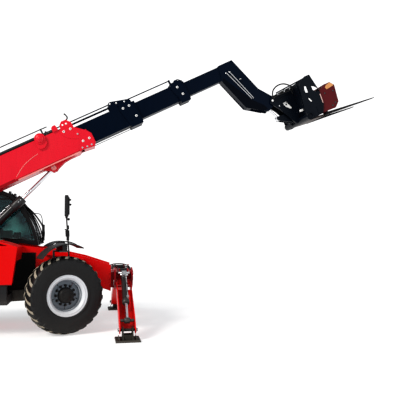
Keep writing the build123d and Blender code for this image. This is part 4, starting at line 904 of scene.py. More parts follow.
for side, name in SIDES:
    place = leg_cylinder_place(side)
    valve = [chunk((-0.04, 0.04), (0.13, 0.235), (0.046, 0.108), 0.004),
             chunk((-0.03, 0.03), (0.155, 0.21), (0.108, 0.125), 0.003),
             bar((-0.075, 0.155, 0.08), (0.075, 0.155, 0.08), 0.016),
             bar((-0.062, 0.21, 0.08), (0.062, 0.21, 0.08), 0.014),
             bar((-0.095, 0.155, 0.08), (-0.075, 0.155, 0.08), 0.021, 6),
             bar((0.075, 0.155, 0.08), (0.09, 0.155, 0.08), 0.021, 6),
             bar((0.03, 0.8, 0.04), (0.03, 0.8, 0.085), 0.014),
             chunk((0.012, 0.048), (0.782, 0.818), (0.072, 0.1), 0.003),
             pipe([(0.03, 0.235, 0.085), (0.03, 0.29, 0.085), (0.03, 0.31, 0.068), (0.03, 0.34, 0.066),
                   (0.03, 0.74, 0.066), (0.03, 0.765, 0.068), (0.03, 0.785, 0.086)], 0.007)]
    gland = lathe("gland", [(0.795, 0.0525), (0.795, 0.058), (0.8, 0.0595), (0.845, 0.0595), (0.851, 0.056),
                            (0.868, 0.054), (0.872, 0.048), (0.872, 0.029)], 40)
    hose = [pipe([(-0.09, 0.155, 0.08), (-0.097, 0.152, 0.08), (-0.1, 0.13, 0.095), (-0.099, 0.06, 0.11),
                  (-0.097, 0.0, 0.07), (-0.097, 0.0, 0.012), (-0.091, 0.0, 0.0)], 0.009),
            bar((-0.103, 0.0, 0.0), (-0.086, 0.0, 0.0), 0.017, 6)]
    clips = [chunk((0.012, 0.048), (s, s + 0.02), (0.045, 0.076), 0.002) for s in (0.42, 0.63)]
    fit("lock_valve_" + name, valve, zinc_plate, "leg_barrel_" + name, place)
    eye = [bar((sign * 0.04, ROD_EYE, 0), (sign * 0.113, ROD_EYE, 0), 0.0235) for sign in BOTH]
    eye.append(bar((-0.0435, ROD_EYE, 0), (0.0435, ROD_EYE, 0), 0.0455))
    fit("leg_rod_eye_" + name, eye, black_fitting, "leg_rod_" + name, place)
    fit("leg_gland_" + name, [gland] + hose + clips, black_fitting, "leg_barrel_" + name, place)

    flip = machine @ Matrix.Diagonal((1, side, 1, 1))
    caps = [end_cap(LEG_X + sign * (LEG_HALF + stands), *FOOT_PIN, radius, thick, sign)
            for stands, radius, thick in ((0.0205, 0.0225, 0.006), (0.0, 0.04, 0.007)) for sign in BOTH]
    fit("foot_pin_ends_" + name, caps, zinc_plate, "foot_" + name, flip)
    pad = [slab([(LEG_X + x, z) for x, z in PAD_END], y, y + 0.012, 0.002) for y in (1.533, 1.895)]
    pad += [chunk((x - 0.005, x + 0.005), (1.56, 1.88), (0.0255, 0.06), 0.002)
            for x in (LEG_X - 0.13, LEG_X + 0.13)]
    fit("foot_ribs_" + name, pad, chassis_black, "foot_" + name, flip)
    pins = [end_cap(1.126, *LEG_PIN, 0.05, 0.008, 1), end_cap(0.814, *LEG_PIN, 0.05, 0.008, -1),
            end_cap(1.0525, *CYLINDER_PIN, 0.03, 0.006, 1), end_cap(0.8875, *CYLINDER_PIN, 0.03, 0.006, -1)]
    heads = [moved(hexagon_bolt(0.012, 0.01), (1.1251, y, z), 90)
             for y, z in ((0.1, 0.7), (0.1, 0.88), (0.3, 0.7), (0.3, 0.88), (0.55, 0.93), (0.42, 0.965))]
    fit("stabiliser_pins_" + name, pins + heads, zinc_plate, "chassis", flip)
    lines = [pipe([(0.7, 0.31, 0.985), (0.78, 0.325, 1.02), (0.88, 0.335, 1.036), (1.02, 0.335, 1.03),
                   (1.115, 0.345, 0.995), (1.142, 0.39, 0.95), (1.137, 0.45, 0.9)], 0.01),
             pipe([(0.7, 0.285, 0.965), (0.78, 0.3, 0.995), (0.88, 0.305, 1.008), (1.0, 0.305, 1.005),
                   (1.105, 0.315, 0.975), (1.138, 0.36, 0.93), (1.136, 0.42, 0.875)], 0.01)]
    fit("stabiliser_hoses_" + name, lines, hose_rubber, "chassis", flip)
    lamp = [chunk((1.1255, 1.15), (0.2, 0.33), (0.77, 0.86), 0.006)]
    fit("front_lamp_case_" + name, lamp, black_fitting, "chassis", flip)
paint_nodes(finish("foot_pad_black", (0.006, 0.006, 0.006), roughness=0.6, dust=0.08, dust_height=0.3,
                   grain=90, relief=0.4, specular=0.2),
            "stabiliser_foot_left", "stabiliser_foot_right")

# ---------------------------------------------------------------- lamps
# Sealed lamp units: a clear, red or amber lens with moulded ribs, set in a black moulded case that is
# bolted to the front plate or to the counterweight.
def lens(name, colour, glow):
    """A coloured lens that glows a little."""
    material = finish(name, colour, roughness=0.12, coat=0.6, dust=0.03, shade=0.1, grain=180, relief=0.5)
    shader = material.node_tree.nodes["Principled BSDF"]
    shader.inputs["Emission Strength"].default_value = glow
    shader.inputs["Emission Color"].default_value = (*colour, 1)
    return material


clear_lens, red_lens, amber_lens = (lens("lens_clear", (0.72, 0.76, 0.8), 0.05),
                                    lens("lens_red", (0.55, 0.01, 0.01), 0.06),
                                    lens("lens_amber", (0.85, 0.25, 0.01), 0.08))


def lamp_face(x, y, z, ribs):
    """A ribbed lens that faces along x; x, y and z are (low, high) pairs."""
    pieces = [chunk(x, y, z, 0.003)]
    step = (z[1] - z[0]) / ribs
    front = x[1] if abs(x[1]) > abs(x[0]) else x[0]
    pieces += [chunk((front - 0.002, front + 0.002), (y[0] + 0.006, y[1] - 0.006),
                     (z[0] + step * k - 0.0015, z[0] + step * k + 0.0015), 0.001)
               for k in range(1, ribs)]
    return pieces


for side, name in SIDES:
    flip = machine @ Matrix.Diagonal((1, side, 1, 1))
    for lamp, surface, slot, meshes in (
            ("front_lamp_", clear_lens, "rim_silver",
             lamp_face((1.149, 1.156), (0.208, 0.322), (0.778, 0.852), 6)),
            ("tail_lamp_case_", black_fitting, "black_plastic",
             [chunk((-4.178, -4.149), (0.8, 1.09), (0.98, 1.09), 0.006)]),
            ("tail_lamp_", red_lens, "rim_silver",
             lamp_face((-4.184, -4.177), (0.91, 1.08), (0.99, 1.08), 6)),
            ("turn_lamp_", amber_lens, "rim_silver",
             lamp_face((-4.184, -4.177), (0.81, 0.9), (0.99, 1.08), 6)),
            # the reflector shares the red lens's faint glow: a painted glow, as a reflector gives no light
            ("rear_reflector_", red_lens, "rim_silver",
             lamp_face((-4.157, -4.1495), (0.88, 1.0), (0.75, 0.8), 4))):
        fit(lamp + name, meshes, surface, "chassis", flip)

# ---------------------------------------------------------------- counterweight
# A block cast in one piece and bolted across the tail of the frame: eyes to lift it by, the heads of
# its tie bolts, cast slots, and a towing jaw with its pin.
heads, dark, red_cast = [], [], []
for side in BOTH:
    red_cast += [slab([(-3.99 + 0.05 * math.cos(a * math.pi / 8), 1.345 + 0.06 * math.sin(a * math.pi / 8))
                       for a in range(-1, 10)],
                      side * 0.7 - 0.02, side * 0.7 + 0.02, 0.006)]
    dark.append(disc(-3.99, side * 0.7205, 1.368, 0.018, 0.003))
    heads += [bolts_at([(-3.98, 0.72), (-3.98, 1.18)], side * 1.14, 0.028, 0.024)]
    dark += [chunk((-4.1, -3.96), (side * 1.14 - 0.004, side * 1.14 + 0.004), (z, z + 0.022), 0.003)
             for z in (0.86, 0.91, 0.96, 1.01)]
heads += [moved(hexagon_bolt(0.028, 0.022), (-4.1495, y, 1.11), -90) for y in (-0.62, -0.31, 0.31, 0.62)]
dark += [chunk((-4.23, -4.145), (-0.09, 0.09), (z, z + 0.025), 0.006) for z in (0.6, 0.72)]
dark += [chunk((-4.165, -4.148), (-0.12, 0.12), (0.665, 0.79), 0.005),
         bar((-4.2, 0, 0.58), (-4.2, 0, 0.79), 0.016),
         pipe([(-4.2, 0.0, 0.785), (-4.2, 0.0, 0.82), (-4.2, 0.035, 0.835), (-4.2, 0.055, 0.81),
               (-4.2, 0.05, 0.78)], 0.005),
         chunk((-4.158, -4.149), (-0.26, 0.26), (0.86, 0.96), 0.003)]
fit("lifting_eyes", red_cast, chassis_red, "chassis")
fit("counterweight_bolts", heads, zinc_plate, "chassis")
fit("towing_jaw", dark, chassis_black, "chassis")

# ---------------------------------------------------------------- frame fittings
# On the welded frame: a black sheet behind the front wheel, painted shade for the dark space between
# hood and wheel, bolts through the rails, the big washers on the boom's hinge pin, and an upright silencer
# with a slotted shield.
shade_sheet_line = [(-1.0, 0.495), (-0.857, 0.495), (-0.56, 0.54), (-0.505, 0.64), (-0.505, 1.283),
               (-0.945, 1.283), (-1.0, 1.185)]
belly_line = [(-0.93, 0.465), (-0.93, 0.655), (-0.6, 0.668), (-0.565, 0.62), (-0.58, 0.5), (-0.62, 0.478)]
RAIL_OUT = 0.385
painted_shade_black = finish("painted_shade_black", (0.003, 0.003, 0.0032), roughness=0.6, dust=0.03, dust_height=0.6,
                     grain=160, relief=0.3, specular=0.12)
# a black sheet on the rail where the space behind the wheel lies in shade: painted shade
panels = [slab(shade_sheet_line, -RAIL_OUT - 0.008, -RAIL_OUT + 0.001, 0.002)]
step_panel = [slab(belly_line, -RAIL_OUT - 0.04, -RAIL_OUT, 0.008)]
fit("shade_sheet", panels, painted_shade_black, "chassis")
fit("belly_guard", step_panel, guard_plastic, "chassis")
painted_over = [bolts_at([(0.735, z) for z in (0.66, 0.72, 0.82, 0.92)] + [(0.3, 0.95), (0.3, 0.87)],
                         side * RAIL_OUT, 0.01) for side in BOTH]
fit("rail_bolts", painted_over, chassis_red, "chassis")
heads = [bolts_at([(x, z) for x in (-3.7, -2.78) for z in (0.87, 0.95)], side * RAIL_OUT, 0.014)
         for side in BOTH]
hinge_x, hinge_z = BOOM_HINGE
for side in BOTH:
    heads.append(bolts_at(circle(hinge_x, hinge_z, 0.09, 6), side * (RAIL_OUT + 0.022), 0.011))
    heads.append(disc(hinge_x, side * (RAIL_OUT + 0.0215), hinge_z, 0.052, 0.008))
fit("frame_bolts", heads, zinc_plate, "chassis")

EXHAUST = Matrix.Translation((-2.365, -0.47, 0))
UPRIGHT = Matrix.Rotation(math.radians(90), 4, "X")
burnt_steel = finish("burnt_steel", (0.12, 0.1, 0.09), roughness=0.5, metal=0.8, dust=0.2, dust_height=1.6,
                     shade=0.4, grain=80, relief=0.3)
silencer = [lathe("silencer", [(1.24, 0.0), (1.24, 0.03), (1.26, 0.062), (1.275, 0.068), (1.68, 0.068),
                               (1.695, 0.062), (1.72, 0.034), (1.8, 0.03), (1.8, 0.0)], 40),
            pipe([(0, 1.78, 0), (0, 1.86, 0), (-0.01, 1.9, 0.01), (-0.06, 1.93, 0.03)], 0.027, 24),
            pipe([(0, 1.25, 0), (0, 1.16, 0), (0.02, 1.08, 0.02), (0.12, 1.05, 0.05)], 0.027, 24)]
slat = chunk((0.0745, 0.0775), (1.29, 1.66), (-0.0045, 0.0045), 0.001)
shield = [grown("shield_slats", slat, ring_of_copies, Count=26, Surface=black_fitting)]
shield += [painted(lathe("hoop", [(y - 0.006, 0.0755), (y - 0.006, 0.0785), (y + 0.006, 0.0785),
                                  (y + 0.006, 0.0755),
                                  (y - 0.006, 0.0755)], 40), black_fitting) for y in (1.29, 1.475, 1.66)]
shield.append(painted(chunk((-0.07, 0.07), (1.155, 1.17), (-0.088, 0.07), 0.003), black_fitting))
fit("silencer", silencer, burnt_steel, "chassis", machine @ EXHAUST @ UPRIGHT)
fit("silencer_shield", shield, None, "chassis", machine @ EXHAUST @ UPRIGHT)

# ---------------------------------------------------------------- carriage fittings
# On the black carriage: a closing sheet, twin hydraulic lines clamped along its top, a bright valve
# set in each ear, pale pink edge strips that are a painted highlight, and the hose that arches over from the
# nose.
carriage_place = leaning(3.8, 4.13, -18.5)
LOWER_TUBE = (0.428, 0, -0.525)
EAR_OUT, SIDE_OUT = 0.146, 0.61
sunlit_top_tan = finish("painted_sunlit_tan", (0.62, 0.27, 0.08), roughness=0.4, dust=0.05, shade=0.5, grain=30,
                  relief=0.3)
edge_highlight_pink = finish("painted_edge_highlight", (0.62, 0.4, 0.36), roughness=0.4, dust=0.05, shade=0.3)
dark, bright, white, lines, sunlit_tops, edge_highlights = [], [], [], [], [], []
dark.append(chunk((0.444, 0.452), (-0.588, 0.588), (-0.525, -0.14), 0.002))
dark += [chunk((0.436, 0.446), (y - 0.02, y + 0.02), (-0.5, 0.1), 0.004) for y in (-0.41, 0.41)]
dark += [bar((0.05, y, 0.1), (0.66, y, 0.215), 0.0125) for y in (-0.3, 0.3)]
for side in BOTH:
    y = side * EAR_OUT
    # white sheets behind the ear holes stand for bright background seen through them: painted light
    white += [slab([(0.178, -0.101), (0.255, -0.09), (0.337, -0.232), (0.311, -0.25), (0.219, -0.182)],
                   y - side * 0.028, y - side * 0.022, 0.001)]
    bright += [disc(0.24, y - side * 0.022, -0.14, 0.02, 0.01), disc(0.1, y, -0.135, 0.014, 0.01)]
    dark += [disc(0.24, y - side * 0.0125, -0.14, 0.01, 0.004),
             bolts_at([(0.03, 0.03), (-0.03, 0.0), (0.0, -0.035)], y, 0.008, 0.006)]
    for row, (low, high) in enumerate((((0.01, 0.075), (0.43, 0.145)), ((0.01, 0.045), (0.4, 0.085)))):
        out = y + side * (0.016 + 0.018 * row)
        lines.append(pipe([(low[0], y - side * 0.004, low[1] - 0.045), (low[0] + 0.015, out, low[1] - 0.01),
                           (low[0] + 0.06, out, low[1] + 0.012), (high[0] - 0.05, out, high[1] - 0.004),
                           (high[0], out, high[1]), (high[0] + 0.02, out - side * 0.004, high[1] - 0.03),
                           (high[0] + 0.02, out - side * 0.01, high[1] - 0.07)], 0.0095))
    bright += [chunk((t, t + 0.016), (y - side * 0.002, y + side * 0.03), (0.062 + 0.122 * t, 0.1 + 0.16 * t),
                     0.002) for t in (0.12, 0.27, 0.39)]
    y = side * SIDE_OUT
    # a pale pink strip on the side plate's edge: painted highlight
    edge_highlights.append(slab([(0.737, -0.19), (0.752, -0.19), (0.757, -0.36), (0.744, -0.36)], y, y + side * 0.003,
                       0.001))
    white.append(slab([(0.493, -0.212), (0.512, -0.205), (0.548, -0.272), (0.53, -0.282)], y,
                      y + side * 0.006, 0.002))
    dark += [bolts_at([(0.51, -0.16), (0.49, -0.34), (0.63, -0.45)], y, 0.01, 0.008)]
    dark += [slab([(0.6, -0.4), (0.7, -0.4), (0.7, -0.46), (0.66, -0.515), (0.6, -0.53)], y, y + side * 0.008,
                  0.003)]
    # the tube's far end is lined white, standing for bright background seen through the tube (painted light);
    # the near end is dark
    for start, end, inner, outer in ((0.6225, 0.63, 0.046, 0.071), (0.6, 0.6225, 0.0446, 0.0458)):
        ring = lathe("tube_ring", [(start, inner), (start, outer), (end, outer), (end, inner),
                                   (start, inner)], 40)
        (white if side > 0 else dark).append(moved(ring, LOWER_TUBE, mirror=side < 0))
white.append(chunk((0.395, 0.45), (-0.345, -0.285), (-0.376, -0.336), 0.006))
cross_plate = [chunk((0.45, 0.805), (-0.4, 0.4), (-0.586, -0.553), 0.004),
               bar((0.52, -0.555, -0.55), (0.52, 0.555, -0.55), 0.022)]
dark += [bar((0.36, -0.2, -0.36), (0.445, -0.2, -0.36), 0.012),
         bar((0.36, 0.2, -0.36), (0.445, 0.2, -0.36), 0.012)]
fit("carriage_sheet", dark, carriage_black, "fork_carriage", carriage_place)
fit("carriage_fittings", bright, zinc_plate, "fork_carriage", carriage_place)
fit("carriage_pale_parts", white, nylon_and_seen_through_white, "fork_carriage", carriage_place)
fit("carriage_lines", lines, hose_rubber, "fork_carriage", carriage_place)
fit("carriage_edge_highlights", edge_highlights, edge_highlight_pink, "fork_carriage", carriage_place)

# orange-tan patches high on the frame's side plates stand for sunlight on them: painted light
for side in BOTH:
    y = side * 0.588
    sunlit_tops.append(slab([(0.889, -0.101), (0.915, -0.066), (1.0, -0.03), (1.06, -0.075), (1.062, -0.105),
                     (0.913, -0.142)],
                    y - side * 0.001, y + side * 0.003, 0.001))
brown_steel = finish("brown_steel", (0.035, 0.016, 0.013), roughness=0.5, dust=0.1, dust_height=6, shade=0.6,
                     grain=40, specular=0.3)
fit("heel_plate", cross_plate, brown_steel, "fork_carriage", carriage_place)
fit("frame_sunlit_tops", sunlit_tops, sunlit_top_tan, "fork_carriage", carriage_place)
dark = [bolts_at([(1.0, -0.42), (0.93, -0.46), (1.02, -0.2), (0.85, -0.2)], side * 0.5878, 0.012)
        for side in BOTH]
dark += [chunk((0.79, 0.8), (y - 0.03, y + 0.03), (-0.45, -0.13), 0.003) for y in (-0.2, 0.2)]
for y in (-0.43, 0.43):
    for s in (-0.088, 0.068):
        profile = [(s, 0.0265), (s, 0.04), (s + 0.02, 0.04), (s + 0.02, 0.0265), (s, 0.0265)]
        dark.append(moved(lathe("collar", profile, 32), (0.83, y, -0.11)))
fit("fork_frame_fittings", dark, black_fitting, "fork_carriage", carriage_place)

hose_route = [(0.02, -0.1573, 0.034), (0.022, -0.1573, 0.11), (0.09, -0.15, 0.215), (0.23, -0.14, 0.265),
              (0.37, -0.135, 0.24), (0.455, -0.13, 0.1634)]
HOSE_LENGTH, HOSE_THICK = 0.59, 0.027
hose_route = [carriage_place @ Vector(point) for point in hose_route]
hose_data = round_curve("arched_hose", hose_route, HOSE_THICK / 2, 16, 4)
arched_hose = new_piece("arched_hose", hose_data)
hose_data.materials.append(hose_rubber)
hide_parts("carriage_hose")
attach(arched_hose, "fork_carriage")

# ---------------------------------------------------------------- engine hood
# Pressed steel lid in red: a slatted grille in its flank and its top, two flush latches, a rubber
# seal along its front edge and a seam where the skin is folded over.
rubber_seal = finish("rubber_seal", (0.006, 0.006, 0.006), roughness=0.6, dust=0.1, grain=200, relief=0.3,
                     specular=0.25)
HOOD_Y = -1.17
grille_slat = slab([(-0.27, -0.0085), (0.27, -0.0085), (0.27, -0.0035), (-0.27, 0.0035)], HOOD_Y - 0.012,
                   HOOD_Y - 0.002, 0.001)
moved(grille_slat, (-1.86, 0, 1.015))
frame_bars = [chunk((-2.15, -1.57), (HOOD_Y - 0.014, HOOD_Y + 0.001), z, 0.003)
              for z in ((0.985, 1.003), (1.289, 1.307))]
frame_bars += [chunk(x, (HOOD_Y - 0.014, HOOD_Y + 0.001), (0.985, 1.307), 0.003)
               for x in ((-2.15, -2.13), (-1.87, -1.85), (-1.59, -1.57))]
grille_back = chunk((-2.14, -1.58), (HOOD_Y - 0.003, HOOD_Y + 0.001), (0.995, 1.297), 0.001)
top_slat = chunk((-1.9, -1.885), (-0.95, -0.6), (1.4805, 1.4895), 0.002)
fit("hood_grille", [painted(m, black_fitting) for m in frame_bars + [grille_back]]
    + [grown("grille_slats", grille_slat, row_of_copies, Count=15, Step=(0, 0, 0.0188),
             Surface=guard_plastic),
       grown("top_slats", top_slat, row_of_copies, Count=20, Step=(0.026, 0, 0), Surface=guard_plastic)],
    None, "engine_hood")
latches = []
for x in (-1.95, -1.0):
    latches += [disc(x, HOOD_Y, 0.865, 0.032, 0.006),
                chunk((x - 0.02, x + 0.02), (HOOD_Y - 0.012, HOOD_Y), (0.859, 0.871), 0.003)]
latches += [bar((-1.56, HOOD_Y - 0.035, 0.9), (-1.36, HOOD_Y - 0.035, 0.9), 0.009),
            bar((-1.56, HOOD_Y, 0.9), (-1.56, HOOD_Y - 0.04, 0.9), 0.009),
            bar((-1.36, HOOD_Y, 0.9), (-1.36, HOOD_Y - 0.04, 0.9), 0.009)]
fit("hood_latches", latches, black_fitting, "engine_hood")
seams = [chunk((-2.295, -0.8), (HOOD_Y - 0.003, HOOD_Y), (0.81, 0.818), 0.001),
         chunk((-1.46, -1.452), (HOOD_Y - 0.002, HOOD_Y), (0.83, 1.36), 0.0005),
         chunk((-2.303, -2.29), (HOOD_Y - 0.002, -0.42), (0.81, 0.825), 0.002),
         chunk((-2.303, -2.3), (HOOD_Y + 0.01, -0.42), (1.3, 1.306), 0.001)]
fit("hood_seams", seams, rubber_seal, "engine_hood")
tail_slats = chunk((-2.306, -2.299), (-1.05, -0.55), (0.93, 0.945), 0.002)
fit("hood_tail_slats", [grown("tail_slats", tail_slats, row_of_copies, Count=12, Step=(0, 0, 0.027),
                              Surface=guard_plastic)], None, "engine_hood")

# ---------------------------------------------------------------- engine
# Under the hood: a cast block with a rocker cover, filter canister, belt pulleys, a finned cooler and
# a battery, fixed to the frame.
ENGINE_TOP, ENGINE_SIDE = 1.29, -1.0105
cast, dark, bright = [], [], []
cast += [chunk((-1.95, -1.25), (-0.86, -0.6), (ENGINE_TOP - 0.002, ENGINE_TOP + 0.07), 0.02),
         chunk((-1.9, -1.3), (-0.78, -0.68), (ENGINE_TOP + 0.06, ENGINE_TOP + 0.1), 0.012)]
bright += [bar((x, -0.73, ENGINE_TOP + 0.095), (x, -0.73, ENGINE_TOP + 0.115), 0.022, 8)
           for x in (-1.82, -1.6, -1.38)]
dark += [bar((-1.92, -0.52, ENGINE_TOP + 0.075), (-1.45, -0.52, ENGINE_TOP + 0.075), 0.07, 28),
         pipe([(-1.45, -0.52, ENGINE_TOP + 0.075), (-1.34, -0.52, ENGINE_TOP + 0.08),
               (-1.28, -0.56, ENGINE_TOP + 0.06), (-1.26, -0.64, ENGINE_TOP + 0.03)], 0.035, 16),
         chunk((-1.98, -1.72), (-1.07, -1.012), (0.7, 0.95), 0.01),
         disc(-1.45, ENGINE_SIDE, 0.86, 0.11, 0.03), disc(-1.3, ENGINE_SIDE, 1.12, 0.07, 0.03),
         disc(-1.66, ENGINE_SIDE, 1.15, 0.055, 0.03)]
bright += [disc(-1.45, -1.04, 0.86, 0.03, 0.01), disc(-1.3, -1.04, 1.12, 0.02, 0.01),
           disc(-1.66, -1.04, 1.15, 0.018, 0.01)]
rib = chunk((-2.06, -2.052), (-1.013, -1.004), (0.7, 1.25), 0.001)
fit("engine_covers", [painted(m, engine_casting) for m in cast]
    + [grown("block_ribs", rib, row_of_copies, Count=9, Step=(0.025, 0, 0), Surface=engine_casting)], None,
    "chassis")
fit("engine_auxiliaries", dark, black_fitting, "chassis")
fit("engine_caps", bright, zinc_plate, "chassis")

# ---------------------------------------------------------------- tanks and steps
# Folded black tanks in steel straps, with screw caps; expanded-metal treads on the cab steps and a
# tubular grab rail beside the door.
straps, caps = [], []
for x in (-2.05, -1.35):
    straps.append(chunk((x - 0.02, x + 0.02), (-1.1535, -1.149), (0.57, 0.79), 0.001))
    straps.append(chunk((x - 0.02, x + 0.02), (-1.06, -0.39), (0.4825, 0.488), 0.001))
for x in (-2.18, -1.62):
    straps.append(chunk((x - 0.02, x + 0.02), (1.0595, 1.064), (0.57, 0.785), 0.001))
caps += [disc(-1.1, -1.1495, 0.7, 0.045, 0.03, 0.006), disc(-1.1, -1.179, 0.7, 0.028, 0.008)]
cap_up = lathe("cap", [(0.789, 0.0), (0.789, 0.05), (0.82, 0.05), (0.826, 0.044), (0.826, 0.0)], 32)
caps.append(moved(cap_up, (-2.2, 0.95, 0), 90, "X"))
level = [chunk((-1.8, -1.77), (1.0595, 1.066), (0.6, 0.74), 0.003)]
fit("tank_straps", straps, chassis_black, "chassis")
fit("tank_caps", caps, black_fitting, "chassis")
# the oil level glass uses the amber lens, which glows a little: a painted glow, as it is no lamp
fit("oil_level_glass", level, amber_lens, "chassis")
treads = []
for z, y_low, count in ((0.4495, 0.93, 8), (0.6695, 0.985, 6)):
    row = chunk((-1.47, -0.905), (y_low, y_low + 0.006), (z, z + 0.005), 0.0015)
    treads.append(grown("tread_rows", row, row_of_copies, Count=count, Step=(0, 0.027, 0),
                        Surface=zinc_plate))
fit("step_treads", treads, None, "chassis")
GRAB_X = -2.03
grab = [pipe([(GRAB_X, 1.165, 1.25), (GRAB_X, 1.215, 1.26), (GRAB_X, 1.225, 1.29), (GRAB_X, 1.225, 1.4)],
             0.014),
        bar((GRAB_X, 1.225, 1.38), (GRAB_X, 1.225, 2.02), 0.014),
        pipe([(GRAB_X, 1.225, 2.0), (GRAB_X, 1.225, 2.11), (GRAB_X, 1.215, 2.14), (GRAB_X, 1.165, 2.15)],
             0.014)]
fit("grab_rail", grab, black_fitting, "chassis")

# ---------------------------------------------------------------- cab fittings
# Black tubular cab: seals round the panes, a wiper on the curved windscreen, roof lamps, a blind rail,
# and inside a grey console beside the seat, an instrument panel and a control lever.
console_grey = finish("console_grey", (0.16, 0.175, 0.18), roughness=0.5, dust=0.1, dust_height=3, grain=260,
                      relief=0.4)
CAB_IN, CAB_OUT = 0.225, 1.17
screen_line = [(-0.513, 1.396), (-0.545, 1.6), (-0.6, 1.75), (-0.682, 1.9), (-0.79, 2.06), (-0.9, 2.2),
               (-1.006, 2.312)]
right_pane = [(-0.62, 1.5), (-0.66, 1.66), (-0.735, 1.86), (-0.86, 2.06), (-1.04, 2.255), (-1.34, 2.375),
              (-1.52, 2.425), (-1.92, 2.425), (-2.07, 2.33), (-2.115, 1.5)]


def seal_round(outline, y, radius=0.007):
    """A round seal on the plane y along a closed (x, z) outline."""
    corners = [(x, y, z) for x, z in outline]
    return [bar(corners[k], corners[(k + 1) % len(corners)], radius, 8) for k in range(len(corners))]


seals = seal_round(right_pane, CAB_IN - 0.001)
seals += seal_round([(-2.11, 1.485), (-1.91, 1.485), (-1.91, 2.295), (-2.11, 2.295)], CAB_OUT + 0.001)
rails = [chunk((-1.95, -1.02), (CAB_IN + 0.002, CAB_IN + 0.016), (2.205, 2.235), 0.004)]
for y in (CAB_IN + 0.034, CAB_OUT - 0.034):
    rails.append(pipe([(x + 0.014, y, z + 0.006) for x, z in screen_line], 0.012))
outer_guard = pipe([(-0.52, CAB_OUT - 0.08, 1.4), (-0.47, CAB_OUT - 0.08, 1.55), (-0.5, CAB_OUT - 0.08, 1.72),
                    (-0.585, CAB_OUT - 0.08, 1.86), (-0.7, CAB_OUT - 0.08, 2.01),
                    (-0.84, CAB_OUT - 0.08, 2.13), (-0.985, CAB_OUT - 0.08, 2.3)], 0.016)
rails += [outer_guard, bar((-0.72, CAB_OUT - 0.085, 1.975), (-0.75, CAB_OUT - 0.06, 1.905), 0.012)]
fit("cab_seals", seals, rubber_seal, "chassis")
fit("cab_rails", rails, cab_black, "chassis")
wiper = [bar((-0.5, 0.7, 1.44), (-0.515, 0.7, 1.435), 0.022, 16),
         bar((-0.495, 0.7, 1.44), (-0.575, 0.82, 1.72), 0.007, 8),
         pipe([(-0.535, 0.86, 1.52), (-0.557, 0.85, 1.6), (-0.6, 0.83, 1.72), (-0.667, 0.8, 1.85),
               (-0.722, 0.78, 1.93)], 0.006)]
fit("windscreen_wiper", wiper, black_fitting, "chassis")
roof = [chunk((-1.95, -1.36), (0.245, 0.3), (2.486, 2.498), 0.004),
        chunk((-1.95, -1.36), (1.095, 1.15), (2.486, 2.498), 0.004)]
roof += [bar((x, 0.36, 2.478), (x, 1.04, 2.478), 0.012, 8) for x in (-1.85, -1.75, -1.65, -1.55, -1.45)]
fit("roof_guard", roof, cab_black, "chassis")
cases, faces = [], []
for x, y, out, size in ((-1.03, 0.34, 1, 0.6), (-1.03, 1.05, 1, 0.6), (-2.11, 0.34, -1, 1.0),
                        (-2.11, 1.05, -1, 1.0)):
    z = 2.29 if out > 0 else 2.43
    cases += [chunk((x - 0.035 * size, x + 0.035 * size), (y - 0.07, y + 0.07),
                    (z + 0.02, z + 0.02 + 0.09 * size), 0.008),
              chunk((x - 0.012, x + 0.012), (y - 0.02, y + 0.02), (z - 0.04, z + 0.03), 0.003)]
    faces += lamp_face(tuple(sorted((x + out * 0.034 * size, x + out * (0.034 * size + 0.006)))),
                       (y - 0.058, y + 0.058), (z + 0.02 + 0.012 * size, z + 0.02 + 0.078 * size), 5)
fit("roof_lamp_cases", cases, black_fitting, "chassis")
fit("roof_lamps", faces, clear_lens, "chassis")
beacon = lathe("beacon", [(2.495, 0.0), (2.495, 0.05), (2.51, 0.052), (2.515, 0.046), (2.585, 0.042),
                          (2.6, 0.03), (2.605, 0.0)], 32)
fit("roof_beacon", [moved(beacon, (-1.99, 0.7, -0.03), 90, "X")], amber_lens, "chassis")
console = [chunk((-1.95, -0.98), (0.275, 0.4), (1.5, 1.655), 0.015),
           chunk((-1.12, -0.8), (0.42, 1.05), (1.395, 1.52), 0.03),
           chunk((-1.4, -1.15), (0.29, 0.39), (1.65, 1.69), 0.012)]
inner = [chunk((-0.99, -0.88), (0.55, 0.83), (1.51, 1.62), 0.02),
         chunk((-2.05, -1.3), (0.31, 1.1), (2.36, 2.385), 0.01),
         bar((-1.5, 0.335, 1.66), (-1.47, 0.335, 1.8), 0.01, 10),
         bar((-1.475, 0.335, 1.785), (-1.455, 0.335, 1.85), 0.022, 16),
         chunk((-2.12, -2.09), (0.33, 1.09), (0.9, 1.46), 0.01)]
fit("cab_console", console, console_grey, "chassis")
fit("cab_inner_trim", inner, trim_plastic, "chassis")
dial = [bar((-1.0, y, 1.575), (-0.985, y, 1.575), 0.035, 24) for y in (0.62, 0.76)]
fit("cab_dials", dial, nylon_and_seen_through_white, "chassis")

handle = [chunk((-1.0, -0.89), (1.1895, 1.197), (1.125, 1.17), 0.004),
          disc(-0.96, 1.1695, 1.09, 0.014, 0.006)]
door_seal = seal_round([(-1.835, 1.215), (-0.775, 1.215), (-0.63, 1.4), (-0.7, 1.8), (-0.83, 2.02),
                        (-1.06, 2.245), (-1.35, 2.37), (-1.52, 2.415),
                        (-1.83, 2.415)], CAB_OUT - 0.0005, 0.005)
door_bits = [chunk((-1.8, -0.85), (1.1695, 1.174), (1.235, 1.245), 0.001)]
fit("door_handle", handle, black_fitting, "cab_door")
fit("door_seal", door_seal + door_bits, rubber_seal, "cab_door")

